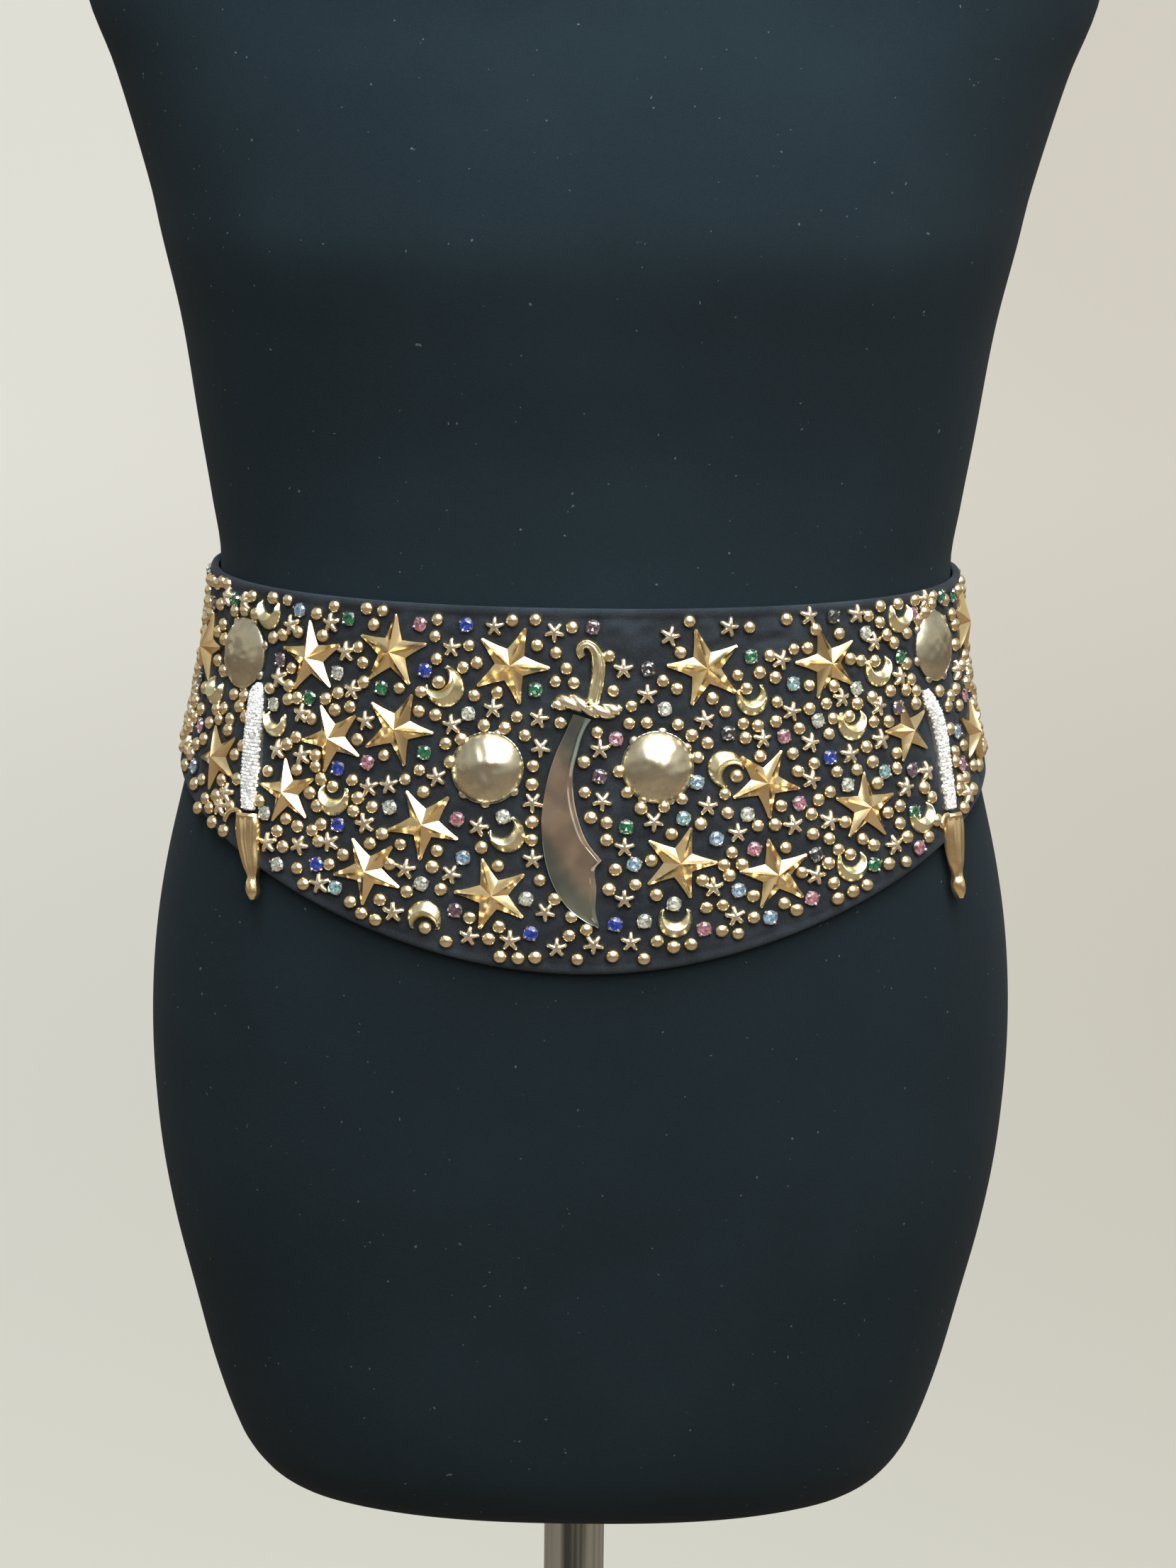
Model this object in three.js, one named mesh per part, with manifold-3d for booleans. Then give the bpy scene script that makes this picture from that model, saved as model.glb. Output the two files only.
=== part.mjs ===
// A studded belt worn on a limbless dress form, on a round stand.
// Sizes are in millimetres, +Z is up, the front looks towards -Y, and the origin is on the floor
// under the middle of the stand. Places on the belt are given as across and down: across runs
// round the belt from the centre front, towards +X, and down runs from its top edge.

import * as THREE from "three";
import Module from "manifold-3d";
import { mergeVertices } from "three/addons/utils/BufferGeometryUtils.js";

// The belt's cloth
const BELT_TOP = 1076;        // height of the belt's top edge over the floor
const BACK_DEPTH = 79;        // depth of the belt at the back
const FRONT_DEPTH = 142.5;    // depth of the belt at the centre front
const DEEP_REACH = 225;       // how far round the deep front part runs, each way
const DEEP_FULLNESS = 1.9;    // how full the curve of the bottom edge is
const CLOTH = 2.6;            // thickness of the folded cloth
const FORM_GAP = 0.8;         // clear space between the dress form and the belt
const ROLL = 0.5;             // how far the turned edges stand out over the face
const LAP = 30;               // how far the two ends lie over each other at the centre back
const LAP_STEP = CLOTH + ROLL + 0.4;
const LAP_RISE = 55;          // length over which the outer end climbs onto the inner one
const BELT_COLUMNS = 72;

// The metal on the belt
const SEAT = 0.45;            // clear space under each piece of metal
const STAR_REACH = 14.3;
const STAR_WAIST = 0.43;      // reach of a star's inner corners, as a share of its points
const STAR_HEIGHT = 4.6;
const CRESCENT_HEIGHT = 3.4;
const CRESCENT_INNER = 0.63;  // radius of the inner arc, as a share of the outer one
const CRESCENT_SHIFT = 0.64;  // shift of the inner arc's centre towards the opening
const DOME_RADIUS = 14.2;
const DOME_SIDES = 20;
const CAP_RADIUS = 6;

// The dress form and its stand
const FORM_SIDES = 40;
const FORM_BOTTOM = 692.5;
const NECK_TOP = 1490;
const NECK_CAP = { radius: 54, thickness: 14, gap: 0.3 };
const POLE = { radius: 12.5, bottom: 6.3, top: 757, clearance: 0.3 };
const BASE = { radius: 180, edge: 5, rise: 8, hubRadius: 25, hubTop: 36 };

// Sections through the dress form: half width, front and back depth, and how square it is
const FORM_ROWS = [
  { z: FORM_BOTTOM, half: 112, front: 68, back: 64, square: 2.4 },
  { z: 696.5, half: 122, front: 77, back: 73, square: 2.4 },
  { z: 703.5, half: 130.5, front: 85, back: 81, square: 2.4 },
  { z: 716, half: 139, front: 92, back: 90, square: 2.4 },
  { z: 744, half: 149.5, front: 98, back: 99, square: 2.35 },
  { z: 777, half: 158.5, front: 102, back: 107, square: 2.3 },
  { z: 807, half: 166, front: 105, back: 114, square: 2.3 },
  { z: 837, half: 171.5, front: 108, back: 121, square: 2.25 },
  { z: 868, half: 174.5, front: 110, back: 125, square: 2.2 },
  { z: 898, half: 175, front: 112, back: 126, square: 2.2 },
  { z: 928, half: 173, front: 113.5, back: 122, square: 2.2 },
  { z: 957, half: 168.5, front: 114, back: 114, square: 2.2 },
  { z: 990, half: 161, front: 112.5, back: 104, square: 2.2 },
  { z: 1020, half: 154, front: 110, back: 96, square: 2.2 },
  { z: 1050, half: 149, front: 107.5, back: 91, square: 2.2 },
  { z: 1080, half: 147, front: 105, back: 89, square: 2.2 },
  { z: 1103, half: 150.5, front: 104, back: 90, square: 2.2 },
  { z: 1132, half: 155.5, front: 105, back: 93, square: 2.2 },
  { z: 1175, half: 162.5, front: 112, back: 99, square: 2.2 },
  { z: 1209, half: 170.5, front: 118, back: 103, square: 2.2 },
  { z: 1230, half: 175.5, front: 117, back: 105, square: 2.1 },
  { z: 1274, half: 189, front: 108, back: 108, square: 1.95 },
  { z: 1302, half: 200, front: 100, back: 109, square: 1.9 },
  { z: 1332, half: 204, front: 94, back: 109, square: 1.9 },
  { z: 1360, half: 199, front: 87, back: 106, square: 1.9 },
  { z: 1384, half: 183, front: 79, back: 99, square: 1.95 },
  { z: 1404, half: 154, front: 71, back: 90, square: 2 },
  { z: 1421, half: 117, front: 64, back: 80, square: 2 },
  { z: 1438, half: 84, front: 59, back: 70, square: 2 },
  { z: 1458, half: 64, front: 56, back: 62, square: 2 },
  { z: NECK_TOP, half: 57, front: 55, back: 57, square: 2 },
];
// Heights of the rings that the dress form is made from, closest where the belt lies
const FORM_LEVELS = [
  FORM_BOTTOM, 696.5, 703.5, 716, 744, 777, 807, 837, 868, 898, 922, 943, 963, 983, 1003, 1022, 1040,
  1057, 1072, 1086, 1103, 1132, 1175, 1209, 1240, 1274, 1302, 1332, 1360, 1384, 1404, 1421, 1438,
  1458, NECK_TOP,
];

// Large stars: the place of the middle, the turn of one point from straight up, and the size
const STARS = [
  { name: "a", across: -113.6, down: 25, turn: -8, size: 1.03 },
  { name: "b", across: -77.4, down: 19.3, turn: 3, size: 1.03 },
  { name: "c", across: -100.5, down: 55, turn: -28, size: 0.96 },
  { name: "d", across: -73.2, down: 49, turn: 21, size: 1.03 },
  { name: "e", across: -118, down: 78.3, turn: -12, size: 0.92 },
  { name: "f", across: -158.7, down: 71, turn: -28, size: 0.93 },
  { name: "g", across: -186, down: 31, turn: 10, size: 1 },
  { name: "h", across: -81.2, down: 104.8, turn: -30, size: 0.96 },
  { name: "i", across: -60.2, down: 85, turn: -32, size: 1 },
  { name: "j", across: -33.3, down: 111.2, turn: -17, size: 1.01 },
  { name: "k", across: -29, down: 22.2, turn: 21, size: 1.08 },
  { name: "l", across: 48, down: 22.8, turn: -14, size: 1.08 },
  { name: "m", across: 70.5, down: 68, turn: 31, size: 0.98 },
  { name: "n", across: 36.6, down: 98, turn: 19, size: 1.01 },
  { name: "o", across: 73.4, down: 103.7, turn: -11, size: 0.99 },
  { name: "p", across: 99.6, down: 23.2, turn: -14, size: 1.01 },
  { name: "q", across: 137.2, down: 53.6, turn: -13, size: 0.89 },
  { name: "r", across: 112, down: 80.7, turn: 2, size: 0.96 },
  { name: "s", across: 197, down: 19, turn: 12, size: 0.95 },
  { name: "t", across: 188, down: 63, turn: 18, size: 0.96 },
  { name: "back_1", across: -245, down: 31, turn: -15, size: 1 },
  { name: "back_2", across: -330, down: 52, turn: 25, size: 1.02 },
  { name: "back_3", across: 246, down: 47, turn: 8, size: 0.98 },
  { name: "back_4", across: 309, down: 26, turn: -22, size: 1.02 },
  { name: "back_5", across: 372, down: 54, turn: 14, size: 1 },
];

// Crescents: the middle of the outer arc, its radius, and which way the opening looks
const CRESCENTS = [
  { name: "1", across: -138.5, down: 10.2, radius: 6.6, turn: 0 },
  { name: "2", across: -55, down: 31.8, radius: 7.8, turn: -45 },
  { name: "3", across: -97.5, down: 78.5, radius: 6.7, turn: 3 },
  { name: "4", across: -58.8, down: 121.3, radius: 6.6, turn: 180 },
  { name: "5", across: -128.3, down: 52.5, radius: 5.6, turn: 0 },
  { name: "6", across: -171, down: 46, radius: 6.2, turn: 8 },
  { name: "7", across: -28.2, down: 88, radius: 6.9, turn: -34 },
  { name: "8", across: 66.7, down: 35.6, radius: 6.5, turn: -10 },
  { name: "9", across: 55.2, down: 62, radius: 7.2, turn: 135 },
  { name: "10", across: 35.2, down: 121, radius: 6.5, turn: 0 },
  { name: "11", across: 138, down: 8.6, radius: 6.5, turn: 4 },
  { name: "12", across: 124.3, down: 28.3, radius: 6.6, turn: -5 },
  { name: "13", across: 109.4, down: 48, radius: 6.6, turn: 0 },
  { name: "14", across: 138.8, down: 88, radius: 6.4, turn: -14 },
  { name: "15", across: 104.3, down: 102.8, radius: 6.4, turn: -4 },
];

const DOMES = [
  { name: "front_left", across: -36.8, down: 62.2 },
  { name: "front_right", across: 28.7, down: 61 },
  { name: "side_left", across: -152.5, down: 28 },
  { name: "side_right", across: 160.5, down: 23 },
];
// From the rim's underside to the top of the crown: share of the radius, and height
const DOME_PROFILE = [
  { reach: 0.25, height: 0 },
  { reach: 0.62, height: 0 },
  { reach: 1, height: 0 },
  { reach: 1, height: 0.9 },
  { reach: 0.96, height: 1.5 },
  { reach: 0.86, height: 2.7 },
  { reach: 0.66, height: 4.0 },
  { reach: 0.36, height: 4.8 },
  { reach: 0.1, height: 5.1 },
];
const CAP_PROFILE = [
  { reach: 0.3, height: 0 },
  { reach: 1, height: 0 },
  { reach: 1, height: 0.8 },
  { reach: 0.75, height: 1.9 },
  { reach: 0.25, height: 2.4 },
];
const CAP_DOWNS = [14, 39.5, 65];

// Bars of metal, each by its two long edges and the height of its ridge
const SWORD_BLADE = [
  { left: [-4.3, 40.3], right: [3.2, 42.6], height: 1.6 },
  { left: [-5.8, 44], right: [1.7, 44.6], height: 1.8 },
  { left: [-7.5, 48], right: [0.1, 48], height: 1.9 },
  { left: [-10.5, 55], right: [-1.8, 54.8], height: 2 },
  { left: [-13.2, 63.5], right: [-3.5, 63], height: 2 },
  { left: [-15, 73], right: [-3.3, 72], height: 2 },
  { left: [-15.7, 82], right: [-1.4, 81], height: 2 },
  { left: [-15.1, 91], right: [2.2, 90], height: 2 },
  { left: [-13.9, 98], right: [7.6, 97], height: 2 },
  { left: [-12.6, 102.5], right: [5.4, 99.6], height: 2 },
  { left: [-9.2, 110], right: [5.7, 108], height: 2 },
  { left: [-4.4, 116.5], right: [5.5, 115.5], height: 1.8 },
  { left: [1.2, 120.8], right: [6.2, 119.8], height: 1.5 },
  { left: [6.2, 123.4], right: [6.8, 123.2], height: 1 },
];
const SWORD_GUARD = [
  { left: [-12.9, 36.4], right: [-12.5, 38.2], height: 1.6 },
  { left: [-11.4, 34.2], right: [-11.2, 39.1], height: 3 },
  { left: [-8, 32.5], right: [-8.2, 39.4], height: 3.8 },
  { left: [-3.5, 32.7], right: [-4, 39.4], height: 4.2 },
  { left: [1, 34.2], right: [0.2, 40.8], height: 4.4 },
  { left: [5.4, 35.6], right: [4.6, 42.2], height: 4.2 },
  { left: [10, 36], right: [9.4, 42.6], height: 3.8 },
  { left: [13.4, 36.2], right: [13.2, 41.6], height: 3 },
  { left: [15, 37.4], right: [14.8, 39.6], height: 1.6 },
];
// The grip runs up from the guard and hooks over to the left
const SWORD_GRIP = [
  { left: [1.2, 33.7], right: [6.4, 35], height: 2.6 },
  { left: [1.9, 30], right: [7.5, 30.6], height: 3 },
  { left: [2.6, 25], right: [8.6, 25.2], height: 3.2 },
  { left: [2.6, 21], right: [8.6, 20.4], height: 3.2 },
  { left: [2.2, 17.6], right: [7.2, 15.8], height: 3.2 },
  { left: [1.3, 15.7], right: [4.2, 12.4], height: 3.2 },
  { left: [0.3, 15.2], right: [0.6, 11.4], height: 3.2 },
  { left: [-0.4, 15.5], right: [-2.6, 13.6], height: 3 },
  { left: [-0.5, 16.2], right: [-3, 17], height: 2.6 },
  { left: [0, 16.8], right: [-1.4, 18.9], height: 2 },
];
const DAGGERS = [
  {
    name: "left",
    handle: [
      { left: [-139.8, 38.2], right: [-137.6, 38], height: 1.8 },
      { left: [-142.2, 41.4], right: [-136.6, 41], height: 2.8 },
      { left: [-142.9, 46], right: [-135.4, 45.6], height: 3.2 },
      { left: [-142.8, 52], right: [-134.8, 51.6], height: 3.4 },
      { left: [-142.2, 61], right: [-134.1, 60.8], height: 3.5 },
      { left: [-141, 71], right: [-132.8, 71], height: 3.5 },
      { left: [-139.3, 80.4], right: [-132.1, 80.4], height: 3.4 },
      { left: [-137.4, 87.6], right: [-131.8, 87.6], height: 3 },
    ],
    sheath: [
      { left: [-141, 89.2], right: [-130, 88.6], height: 3.8 },
      { left: [-140.9, 92], right: [-129, 91.4], height: 4 },
      { left: [-138.9, 100], right: [-128.2, 99.6], height: 3.6 },
      { left: [-134.1, 109.2], right: [-126.8, 108.8], height: 3 },
      { left: [-131.1, 113.8], right: [-126.8, 113.6], height: 2.6 },
      { left: [-131.5, 115.8], right: [-126.3, 115.6], height: 3 },
      { left: [-131, 119.2], right: [-125.8, 119], height: 3 },
      { left: [-128.8, 121.8], right: [-126.8, 121.7], height: 2 },
    ],
  },
  {
    name: "right",
    handle: [
      { left: [147.4, 39], right: [150.2, 38.6], height: 1.8 },
      { left: [148.2, 44.4], right: [154.4, 43.6], height: 2.8 },
      { left: [151.2, 53], right: [157.8, 52.4], height: 3.4 },
      { left: [152.2, 61], right: [158.4, 60.6], height: 3.5 },
      { left: [151.8, 71], right: [157.6, 70.8], height: 3.5 },
      { left: [151.6, 80.4], right: [157.2, 80.4], height: 3.4 },
      { left: [151.7, 87.2], right: [156.4, 87.4], height: 3 },
    ],
    sheath: [
      { left: [150.6, 88.5], right: [160, 89], height: 3.8 },
      { left: [150, 92], right: [160.8, 92.4], height: 4 },
      { left: [149.7, 100], right: [159.6, 100.4], height: 3.6 },
      { left: [150.4, 107.6], right: [157.6, 108], height: 3 },
      { left: [151.4, 113.6], right: [155.4, 113.8], height: 2.6 },
      { left: [150.6, 115.6], right: [156, 115.8], height: 3 },
      { left: [151, 119.4], right: [155.7, 119.6], height: 3 },
      { left: [152.4, 122.2], right: [154.2, 122.3], height: 2 },
    ],
  },
];

const MATERIALS = {
  cloth: new THREE.MeshStandardMaterial({ color: 0x23262d, roughness: 0.95 }),
  jersey: new THREE.MeshStandardMaterial({ color: 0x1b1e22, roughness: 0.9 }),
  gold: new THREE.MeshStandardMaterial({ color: 0xd9ab58, roughness: 0.3, metalness: 1 }),
  paleGold: new THREE.MeshStandardMaterial({ color: 0xcfc3a0, roughness: 0.22, metalness: 1 }),
  silver: new THREE.MeshStandardMaterial({ color: 0xd8d8d6, roughness: 0.35, metalness: 1 }),
  chrome: new THREE.MeshStandardMaterial({ color: 0xc9ccd0, roughness: 0.12, metalness: 1 }),
};

const wasm = await Module();
wasm.setup();

// The value of one column of a table of sections at a height, on a smooth curve
function columnAt(rows, key, z) {
  const last = rows.length - 1;
  let i = rows.findIndex((row, k) => k < last && z <= rows[k + 1].z);
  if (i < 0) i = last - 1;
  const slope = (k) => {
    const below = rows[Math.max(k - 1, 0)];
    const above = rows[Math.min(k + 1, last)];
    return (above[key] - below[key]) / (above.z - below.z);
  };
  const step = rows[i + 1].z - rows[i].z;
  const u = (z - rows[i].z) / step;
  const fromBelow = (1 + 2 * u) * (1 - u) ** 2 * rows[i][key] + u * (1 - u) ** 2 * step * slope(i);
  const fromAbove = u * u * (3 - 2 * u) * rows[i + 1][key] - u * u * (1 - u) * step * slope(i + 1);
  return fromBelow + fromAbove;
}

// A point of the dress form's surface: the angle is 0 at the centre front
function formPoint(angle, z) {
  const half = columnAt(FORM_ROWS, "half", z);
  const depth = columnAt(FORM_ROWS, Math.cos(angle) > 0 ? "front" : "back", z);
  const square = columnAt(FORM_ROWS, "square", z);
  const side = Math.abs(Math.sin(angle) / half) ** square;
  const ahead = Math.abs(Math.cos(angle) / depth) ** square;
  const reach = (side + ahead) ** (-1 / square);
  return new THREE.Vector3(reach * Math.sin(angle), -reach * Math.cos(angle), z);
}

// A point moved out from the dress form's surface, square to it
function outFromForm(angle, z, distance) {
  const round = formPoint(angle + 0.001, z).sub(formPoint(angle - 0.001, z));
  const up = formPoint(angle, z + 0.5).sub(formPoint(angle, z - 0.5));
  const outward = round.cross(up).normalize();
  return formPoint(angle, z).addScaledVector(outward, distance);
}

// The ruler round the belt: its outer face at one height, measured from the centre front
const RULER_HEIGHT = 1020;
const RULER_STEPS = 1800;
const ruler = [];
for (let i = 0; i <= RULER_STEPS; i++) {
  const angle = (i / RULER_STEPS) * Math.PI;
  const point = outFromForm(angle, RULER_HEIGHT, FORM_GAP + CLOTH);
  const before = i ? ruler[i - 1] : { length: 0, point };
  ruler.push({ angle, point, length: before.length + point.distanceTo(before.point) });
}
const HALF_GIRTH = ruler[RULER_STEPS].length;

function angleAt(across) {
  const beyond = Math.abs(across) > HALF_GIRTH;
  const length = beyond ? 2 * HALF_GIRTH - Math.abs(across) : Math.abs(across);
  const i = Math.max(ruler.findIndex((mark) => mark.length >= length), 1);
  const share = (length - ruler[i - 1].length) / (ruler[i].length - ruler[i - 1].length);
  const angle = THREE.MathUtils.lerp(ruler[i - 1].angle, ruler[i].angle, share);
  return Math.sign(across) * (beyond ? 2 * Math.PI - angle : angle);
}

// The outer end of the belt climbs onto the inner one before the centre back
function lapLift(across) {
  const end = HALF_GIRTH - LAP / 2 - 5;
  return LAP_STEP * THREE.MathUtils.smoothstep(across, end - LAP_RISE, end);
}

function depthAt(across) {
  const share = 1 - Math.min(Math.abs(across) / DEEP_REACH, 1) ** 2;
  return BACK_DEPTH + (FRONT_DEPTH - BACK_DEPTH) * share ** DEEP_FULLNESS;
}

// A point over the dress form under a place on the belt
function overForm(across, down, distance) {
  return outFromForm(angleAt(across), BELT_TOP - down, distance + lapLift(across));
}

// A point over the belt's outer face
function overBelt(across, down, height) {
  return overForm(across, down, FORM_GAP + CLOTH + SEAT + height);
}

// One closed solid from a list of points and of triangles, with its faces turned outwards
function closedSolid(points, triangles) {
  let volume = 0;
  for (const [a, b, c] of triangles) {
    volume += points[a].dot(new THREE.Vector3().crossVectors(points[b], points[c]));
  }
  const faces = volume < 0 ? triangles.map(([a, b, c]) => [a, c, b]) : triangles;
  const geometry = new THREE.BufferGeometry().setFromPoints(points);
  geometry.setIndex(faces.flat());
  geometry.computeVertexNormals();
  return geometry;
}

// A solid through closed sections of equally many points. A zipped end joins the points across
// the section, and a fanned one joins them to a point in its middle.
function loft(sections, ends) {
  const points = sections.flat();
  const count = sections[0].length;
  const triangles = [];
  for (let k = 0; k + 1 < sections.length; k++) {
    for (let i = 0; i < count; i++) {
      const a = k * count + i;
      const b = k * count + ((i + 1) % count);
      triangles.push([a, b, b + count], [a, b + count, a + count]);
    }
  }
  const close = (start, flipped) => {
    const add = (a, b, c) => triangles.push(flipped ? [a, c, b] : [a, b, c]);
    if (ends === "fanned") {
      const section = points.slice(start, start + count);
      const middle = section.reduce((sum, p) => sum.add(p), new THREE.Vector3());
      points.push(middle.divideScalar(count));
      const hub = points.length - 1;
      for (let i = 0; i < count; i++) add(hub, start + ((i + 1) % count), start + i);
      return;
    }
    let low = 0;
    let high = count - 1;
    while (low + 1 < high) {
      add(start + low, start + high, start + low + 1);
      low++;
      if (low + 1 < high) add(start + low, start + high, start + high - 1);
      high--;
    }
  };
  close(0, false);
  close((sections.length - 1) * count, true);
  return closedSolid(points, triangles);
}

function toManifold(geometry) {
  const bare = geometry.clone();
  bare.deleteAttribute("normal");
  bare.deleteAttribute("uv");
  const merged = mergeVertices(bare);
  return new wasm.Manifold(new wasm.Mesh({
    numProp: 3,
    vertProperties: new Float32Array(merged.attributes.position.array),
    triVerts: new Uint32Array(merged.index.array),
  }));
}

function fromManifold(solid) {
  const mesh = solid.getMesh();
  const geometry = new THREE.BufferGeometry();
  geometry.setAttribute("position", new THREE.BufferAttribute(mesh.vertProperties, 3));
  geometry.setIndex(new THREE.BufferAttribute(mesh.triVerts, 1));
  geometry.computeVertexNormals();
  return geometry;
}

const group = new THREE.Group();

function add(name, geometry, material) {
  const mesh = new THREE.Mesh(geometry, material);
  mesh.name = name;
  group.add(mesh);
  return mesh;
}

// The dress form: a smooth body with a socket for the pole bored into its underside
function dressForm() {
  const ring = (z) => {
    const points = [];
    for (let i = 0; i < FORM_SIDES; i++) points.push(formPoint((2 * Math.PI * i) / FORM_SIDES, z));
    return points;
  };
  const body = loft(FORM_LEVELS.map(ring), "fanned");
  const depth = POLE.top + POLE.clearance - FORM_BOTTOM;
  const drill = new THREE.CylinderGeometry(
    POLE.radius + POLE.clearance, POLE.radius + POLE.clearance, 2 * depth, 24);
  drill.rotateX(Math.PI / 2);
  drill.translate(0, 0, FORM_BOTTOM);
  return fromManifold(toManifold(body).subtract(toManifold(drill)));
}

function turned(profile, sides) {
  const geometry = new THREE.LatheGeometry(profile.map(([r, z]) => new THREE.Vector2(r, z)), sides);
  geometry.rotateX(Math.PI / 2);
  return geometry;
}

function standBase() {
  const bore = POLE.radius + POLE.clearance;
  const floor = POLE.bottom - POLE.clearance;
  return turned([
    [0, 0], [BASE.radius, 0], [BASE.radius, BASE.edge], [BASE.radius - 4, BASE.rise],
    [BASE.hubRadius + 6, BASE.rise + 2], [BASE.hubRadius, BASE.rise + 8],
    [BASE.hubRadius - 2, BASE.hubTop], [bore, BASE.hubTop], [bore, floor], [0, floor],
  ], 48);
}

function standPole() {
  return turned([
    [0, POLE.bottom], [POLE.radius, POLE.bottom], [POLE.radius, POLE.top], [0, POLE.top],
  ], 24);
}

function neckCap() {
  const low = NECK_TOP + NECK_CAP.gap;
  const high = low + NECK_CAP.thickness;
  return turned([
    [0, low], [NECK_CAP.radius - 2, low], [NECK_CAP.radius, low + 2],
    [NECK_CAP.radius, high - 5], [NECK_CAP.radius - 5, high - 1], [0, high],
  ], 32);
}

// The belt: one wall from end to end, thinned to a soft roll at its two long edges
function beltBand() {
  const reach = HALF_GIRTH + LAP / 2;
  const edge = [
    { from: 0, inner: 0.9, outer: CLOTH - 0.7 },
    { from: 0.8, inner: 0, outer: CLOTH + 0.3 },
    { from: 2.8, inner: 0, outer: CLOTH + ROLL },
    { from: 4.8, inner: 0, outer: CLOTH },
  ];
  const middleRows = 5;
  const sections = [];
  for (let i = 0; i <= BELT_COLUMNS; i++) {
    const across = THREE.MathUtils.lerp(-reach, reach, i / BELT_COLUMNS);
    const depth = depthAt(across);
    const rows = edge.map((row) => ({ ...row, down: row.from }));
    const inset = edge[edge.length - 1].from;
    for (let k = 1; k <= middleRows; k++) {
      const down = THREE.MathUtils.lerp(inset, depth - inset, k / (middleRows + 1));
      rows.push({ inner: 0, outer: CLOTH, down });
    }
    rows.push(...edge.toReversed().map((row) => ({ ...row, down: depth - row.from })));
    const outer = rows.map((row) => overForm(across, row.down, FORM_GAP + row.outer));
    const inner = rows.map((row) => overForm(across, row.down, FORM_GAP + row.inner));
    sections.push([...outer, ...inner.reverse()]);
  }
  return loft(sections, "zipped");
}

// A round piece from a profile, laid on the belt
function roundPiece(across, down, radius, profile, sides) {
  return loft(profile.map(({ reach, height }) => {
    const ring = [];
    for (let i = 0; i < sides; i++) {
      const angle = (2 * Math.PI * i) / sides;
      const aside = across + radius * reach * Math.sin(angle);
      const below = down - radius * reach * Math.cos(angle);
      ring.push(overBelt(aside, below, height));
    }
    return ring;
  }), "fanned");
}

// A place on the belt at a distance from a centre, in a direction turned from straight up
function placeAt(centre, distance, degrees) {
  const angle = THREE.MathUtils.degToRad(degrees);
  return [centre.across + distance * Math.sin(angle), centre.down - distance * Math.cos(angle)];
}

// A faceted star: ridges run to its points and valleys to its inner corners
function star(place) {
  const reach = STAR_REACH * place.size;
  const waist = reach * STAR_WAIST;
  const points = [];
  const at = (distance, degrees, height) => {
    const [across, down] = placeAt(place, distance, degrees);
    points.push(overBelt(across, down, height));
    return points.length - 1;
  };
  const top = at(0, 0, STAR_HEIGHT);
  const under = at(0, 0, 0);
  const arms = [];
  for (let k = 0; k < 5; k++) {
    const turn = place.turn + 72 * k;
    const side = Math.hypot(reach + waist * 0.81, waist * 0.59) / 2;
    const lean = THREE.MathUtils.radToDeg(Math.atan2(waist * 0.59, reach + waist * 0.81));
    arms.push({
      tip: at(reach, turn, 0.3),
      ridge: at(reach * 0.55, turn, STAR_HEIGHT * 0.62),
      keel: at(reach * 0.55, turn, 0),
      before: at(side, turn - lean, 0.15),
      after: at(side, turn + lean, 0.15),
      corner: at(waist, turn + 36, 0.15),
    });
  }
  const triangles = [];
  arms.forEach((arm, k) => {
    const corner = arms[(k + 4) % 5].corner;
    const halves = [[corner, arm.before], [arm.corner, arm.after]];
    halves.forEach(([inner, edge], half) => {
      const face = (a, b, c) => triangles.push(half ? [a, b, c] : [a, c, b]);
      face(top, arm.ridge, inner);
      face(inner, arm.ridge, edge);
      face(edge, arm.ridge, arm.tip);
      face(under, inner, arm.keel);
      face(inner, edge, arm.keel);
      face(edge, arm.tip, arm.keel);
    });
  });
  return closedSolid(points, triangles);
}

// A bar with a rounded back, between two edges laid on the belt or lifted a little off it
function bar(stations, lift = 0) {
  return loft(stations.map(({ left, right, height }) => {
    const between = (share, rise) => {
      const across = THREE.MathUtils.lerp(left[0], right[0], share);
      const down = THREE.MathUtils.lerp(left[1], right[1], share);
      return overBelt(across, down, lift + rise * height);
    };
    return [
      between(0, 0), between(0, 0.3), between(0.24, 0.84), between(0.5, 1),
      between(0.76, 0.84), between(1, 0.3), between(1, 0), between(0.5, 0),
    ];
  }), "zipped");
}

// A puffy crescent between an outer arc and a smaller inner one
function crescent(place) {
  const inner = { radius: place.radius * CRESCENT_INNER, shift: place.radius * CRESCENT_SHIFT };
  const [across, down] = placeAt(place, inner.shift, place.turn);
  const innerCentre = { across, down };
  const tipOuter = 131;
  const tipInner = 101;
  const bands = 8;
  const sections = [];
  for (let k = 0; k <= bands; k++) {
    const share = (2 * k) / bands - 1;
    const outerEdge = placeAt(place, place.radius, place.turn + 180 + share * tipOuter);
    const innerEdge = placeAt(innerCentre, inner.radius, place.turn + 180 + share * tipInner);
    const height = 0.9 + (CRESCENT_HEIGHT - 0.9) * (1 - share * share);
    const between = (part, rise) => overBelt(
      THREE.MathUtils.lerp(outerEdge[0], innerEdge[0], part),
      THREE.MathUtils.lerp(outerEdge[1], innerEdge[1], part),
      rise * height);
    sections.push([
      between(0, 0), between(0.22, 0.78), between(0.5, 1), between(0.8, 0.72), between(1, 0),
    ]);
  }
  return loft(sections, "zipped");
}

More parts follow.
